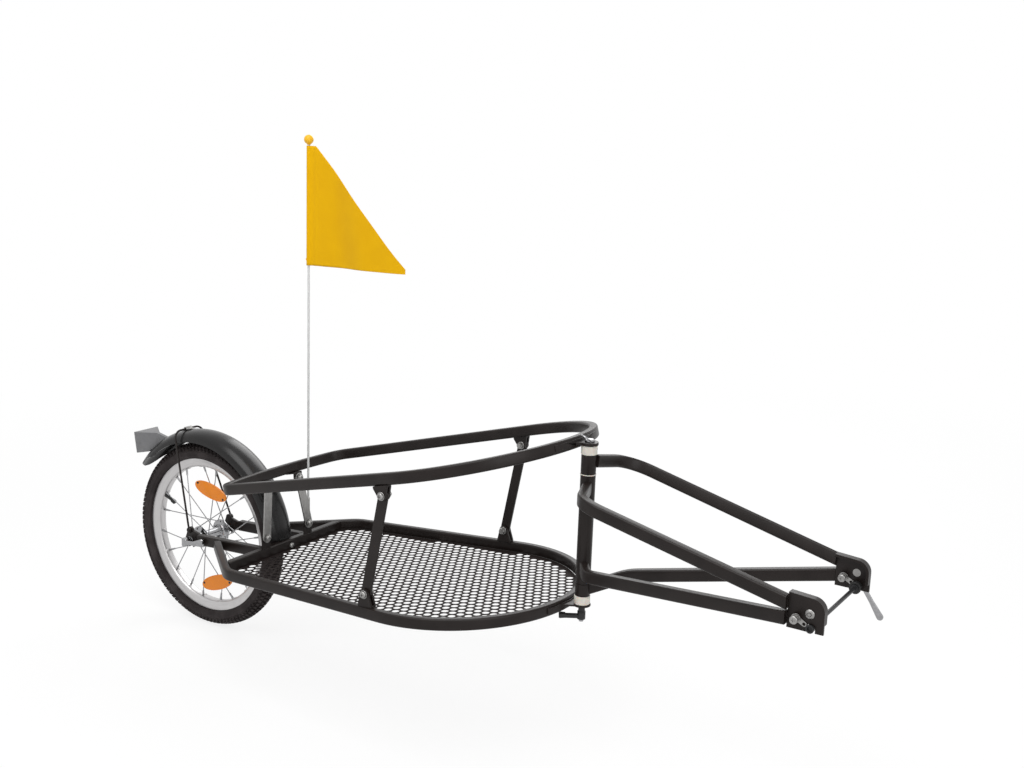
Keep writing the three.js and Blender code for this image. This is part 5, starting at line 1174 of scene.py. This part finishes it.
class TRAILER_OT_arms(bpy.types.Operator):
    """Makes the yoke's four arms"""

    bl_idname = "trailer.arms"
    bl_label = "Yoke arms"

    def execute(self, context):
        tube_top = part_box("head_tube")[1].z / MM + HITCH_HEIGHT / MM
        sleeve_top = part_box("upper_sleeve")[1].z / MM + HITCH_HEIGHT / MM
        lower_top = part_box("lower_sleeve")[1].z / MM + HITCH_HEIGHT / MM
        for node, side, level, root, bend, radius, end in (
                ("upper_arm_right", -1, tube_top, (-4.1, 8, -10), (47.7, 124.8, 0.6), 60, (116.4, 42.2)),
                ("upper_arm_left", 1, sleeve_top, (1.9, 8, -0.7), (7.9, 125.8, -24.5), 60, (116.4, 42.2)),
                ("lower_arm_right", -1, lower_top, (-4.1, 9, 42), (17.9, 36, 34.5), 30, (117.8, 20.2)),
                ("lower_arm_left", 1, lower_top, (0, 12.1, 0), (67.9, 30.3, 32.7), 120, (117.8, 20.2))):
            path = route([(Vector((HEAD_X + root[0], -root[1], level + root[2])), 0),
                          (Vector((HEAD_X + bend[0], -bend[1], level + bend[2])), radius),
                          (Vector((1266.7, -end[0], HITCH_HEIGHT / MM + end[1])), 0)])
            stock = Stock()
            stock.sweep(tube_outline(height=21.0), path, UP, last=Vector((1, 0, 0)))
            mirror = Matrix.Scale(-1 if side > 0 else 1, 4, ACROSS)
            piece(f"{node}_fine", stock, UPRIGHT_MM @ mirror, (node,), edges=0.5)
        return {"FINISHED"}


class TRAILER_OT_bolts(bpy.types.Operator):
    """Makes the bolts with crossed heads, washers and nuts"""

    bl_idname = "trailer.bolts"
    bl_label = "Bolts"

    # Each as shank radius, head radius and height, washer radius, nut radius and height
    strut_screw = (3.0, 6.0, 3.9, 7.3, 5.8, 6.6)
    support_screw = (2.5, 5.5, 3.6, 7.0, 4.6, 4.0)
    fender_screw = (2.5, 5.2, 3.0, 5.5, 4.6, 1.5)

    def execute(self, context):
        self.head = self.crossed_head()
        for name, (x, z) in (("strut_foot_bolt", STRUT_FOOT), ("strut_top_bolt", STRUT_TOP)):
            for side, hand in ((-1, "right"), (1, "left")):
                turn = turn_of(180 if side > 0 else 0, "Z")
                place = DECK_MM @ Matrix.Translation((x, side * (STRUT_PLANE + CLEVIS_HALF), z)) @ turn
                self.screw(f"{name}_{hand}", place, CLEVIS_HALF * 2, *self.strut_screw)
        slack = GAP + SUPPORT_LEAN * SUPPORT_END
        for name, (x, y, z) in (("support_foot_bolt", SUPPORT_FOOT), ("support_top_bolt", SUPPORT_TOP)):
            for side, hand in ((-1, "right"), (1, "left")):
                spot = Matrix.Translation((x + SUPPORT_HALF + slack, side * y, z))
                place = DECK_MM @ spot @ turn_of(90, "Z")
                self.screw(f"{name}_{hand}", place, 5.6 + slack * 2, *self.support_screw)
        place = DECK_MM @ Matrix.Translation((CROSSBAR_FRONT, 8.9, 4.6)) @ turn_of(90, "Z")
        self.screw("fender_bolt", place, 17.9, *self.fender_screw)
        for node in ("latch_bolt_right", "latch_bolt_left"):
            self.latch_bolt(node)
        return {"FINISHED"}

    def crossed_head(self):
        """A pan head of radius and height one on the -Y side, with a cross cut into it."""
        dome = [(0, 0), (1, 0), (1.0, -0.34), (0.95, -0.6), (0.82, -0.82), (0.6, -0.95), (0.3, -1.0),
                (0, -1.0)]
        head, tool = Stock(), Stock()
        head.lathe(dome, 40)
        wide, thin = 0.46, 0.1
        half = [(-wide, -thin), (-thin, -thin), (-thin, -wide), (thin, -wide), (thin, -thin), (wide, -thin)]
        tool.prism(half + [(-x, -y) for x, y in half], -1.4, -0.5)
        return self.carved(head, tool)

    def carved(self, stock, tool):
        """A stock less a tool."""
        objects = []
        for form in (stock, tool):
            mesh = bpy.data.meshes.new("form")
            mesh.from_pydata([tuple(v) for v in form.verts], [], form.faces)
            closed_up(mesh, 0.0001)
            objects.append(bpy.data.objects.new("form", mesh))
            bpy.context.scene.collection.objects.link(objects[-1])
        cut = objects[0].modifiers.new("Cut", "BOOLEAN")
        cut.object = objects[1]
        cut.solver = "EXACT"
        applied(objects[0])
        made = Stock()
        mesh = objects[0].data
        made.add([v.co.copy() for v in mesh.vertices], [list(p.vertices) for p in mesh.polygons])
        for used in objects:
            bpy.data.objects.remove(used)
        return made

    def screw(self, node, place, grip, shank, head, head_height, washer, nut, nut_height):
        """Built along Y like the solid it stands for: head at the -Y end, nut at the other."""
        stock = Stock()
        near, far, thick = -GAP, grip + GAP, 1.4
        for y, away in ((near, -1), (far, 1)):
            stock.lathe([(shank, y), (washer - 0.2, y), (washer, y + away * 0.2), (washer, y + away * 1.1),
                         (washer - 0.3, y + away * thick), (shank, y + away * thick)], 40)
        end = far + thick + nut_height
        stock.rod(Vector((0, near - thick, 0)), Vector((0, end, 0)), shank, 24)
        size = Matrix.Diagonal((head, head_height, head, 1))
        stock.add(self.head.verts, self.head.faces, Matrix.Translation((0, near - thick, 0)) @ size)
        stock.rod(Vector((0, far + thick, 0)), Vector((0, end - 0.8, 0)), nut, 6)
        piece(f"{node}_fine", stock, place, (node,), edges=0.3)

    def latch_bolt(self, node):
        low, high = (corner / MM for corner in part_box(node))
        x, z = (low.x + high.x) / 2, (low.z + high.z) / 2
        place = Matrix.Scale(MM, 4) @ Matrix.Translation((x, low.y, z))
        long = high.y - low.y
        stock = Stock()
        stock.lathe([(0, 1.2), (4.0, 1.2), (4.0, 11.2), (6.8, 11.2), (7.0, 11.5), (7.0, 12.4), (6.8, 12.7),
                     (2.2, 12.7), (2.2, long - 2.9), (3.9, long - 2.9), (4.0, long - 0.5), (3.5, long),
                     (0, long)], 36)
        size = Matrix.Diagonal((6.2, 2.8, 6.2, 1))
        stock.add(self.head.verts, self.head.faces, Matrix.Translation((0, 2.8, 0)) @ size)
        piece(f"{node}_fine", stock, place, (node,), edges=0.2)


# Hitch plates: half the width over both, and their thickness
HOOK_OUTER = 106.0
HOOK_PLATE = 4.0


class TRAILER_OT_fittings(bpy.types.Operator):
    """Gives the remaining plates, bars and levers clean faces and rounded edges"""

    bl_idname = "trailer.fittings"
    bl_label = "Plates and levers"

    edges = {
        "rear_crossbar": 0.9, "dropout_stay_right": 0.9, "dropout_stay_left": 0.9, "side_strut_right": 0.9,
        "side_strut_left": 0.9, "rear_support_right": 0.6, "rear_support_left": 0.6, "pole_socket": 0.4,
        "hitch_plate_right": 0.8, "hitch_plate_left": 0.8, "hitch_latch_right": 0.35,
        "hitch_latch_left": 0.35, "hitch_skewer": 0.4, "skewer_spacer": 0.4, "hitch_lever": 0.9}

    def execute(self, context):
        for node, width in self.edges.items():
            refined(node, width)
        dome = [(0, -3.9), (2.2, -3.7), (4.6, -2.9), (6.4, -1.9), (7.1, -1.3), (7.1, 0.2), (0, 0.2)]
        flush = [(0, -0.15), (6.3, -0.15), (6.3, 0.2), (0, 0.2)]
        for hand, side, outline in (("right", -HOOK_OUTER, dome), ("left", HOOK_OUTER - HOOK_PLATE, flush)):
            node = f"hitch_plate_{hand}"
            rivet = Stock()
            rivet.lathe(outline, 32, Matrix.Translation((-2.5, side, 21)))
            piece(f"{node}_rivet", rivet, Matrix.Scale(MM, 4), like=node, slot="zinc")
        return {"FINISHED"}


OPERATORS = (
    TRAILER_OT_stage, TRAILER_OT_finishes, TRAILER_OT_loops, TRAILER_OT_deck_sheet, TRAILER_OT_wheel,
    TRAILER_OT_spoke_reflectors, TRAILER_OT_fender, TRAILER_OT_flag, TRAILER_OT_head, TRAILER_OT_arms,
    TRAILER_OT_bolts, TRAILER_OT_fittings)


class TRAILER_PT_panel(bpy.types.Panel):
    """Lists the trailer's pieces"""

    bl_idname = "TRAILER_PT_panel"
    bl_label = "Trailer"
    bl_space_type = "VIEW_3D"
    bl_region_type = "UI"
    bl_category = "Trailer"

    def draw(self, context):
        for name in TrailerSettings.__annotations__:
            self.layout.prop(context.scene.trailer, name)
        for operator in OPERATORS:
            self.layout.operator(operator.bl_idname)


CLASSES = (TrailerSettings, *OPERATORS, TRAILER_PT_panel)


def register():
    for cls in CLASSES:
        bpy.utils.register_class(cls)
    bpy.types.Scene.trailer = bpy.props.PointerProperty(type=TrailerSettings)


def unregister():
    del bpy.types.Scene.trailer
    for cls in reversed(CLASSES):
        bpy.utils.unregister_class(cls)


def main():
    register()
    for operator in OPERATORS:
        getattr(bpy.ops.trailer, operator.bl_idname.split(".")[1])()


if __name__ == "__main__":
    main()
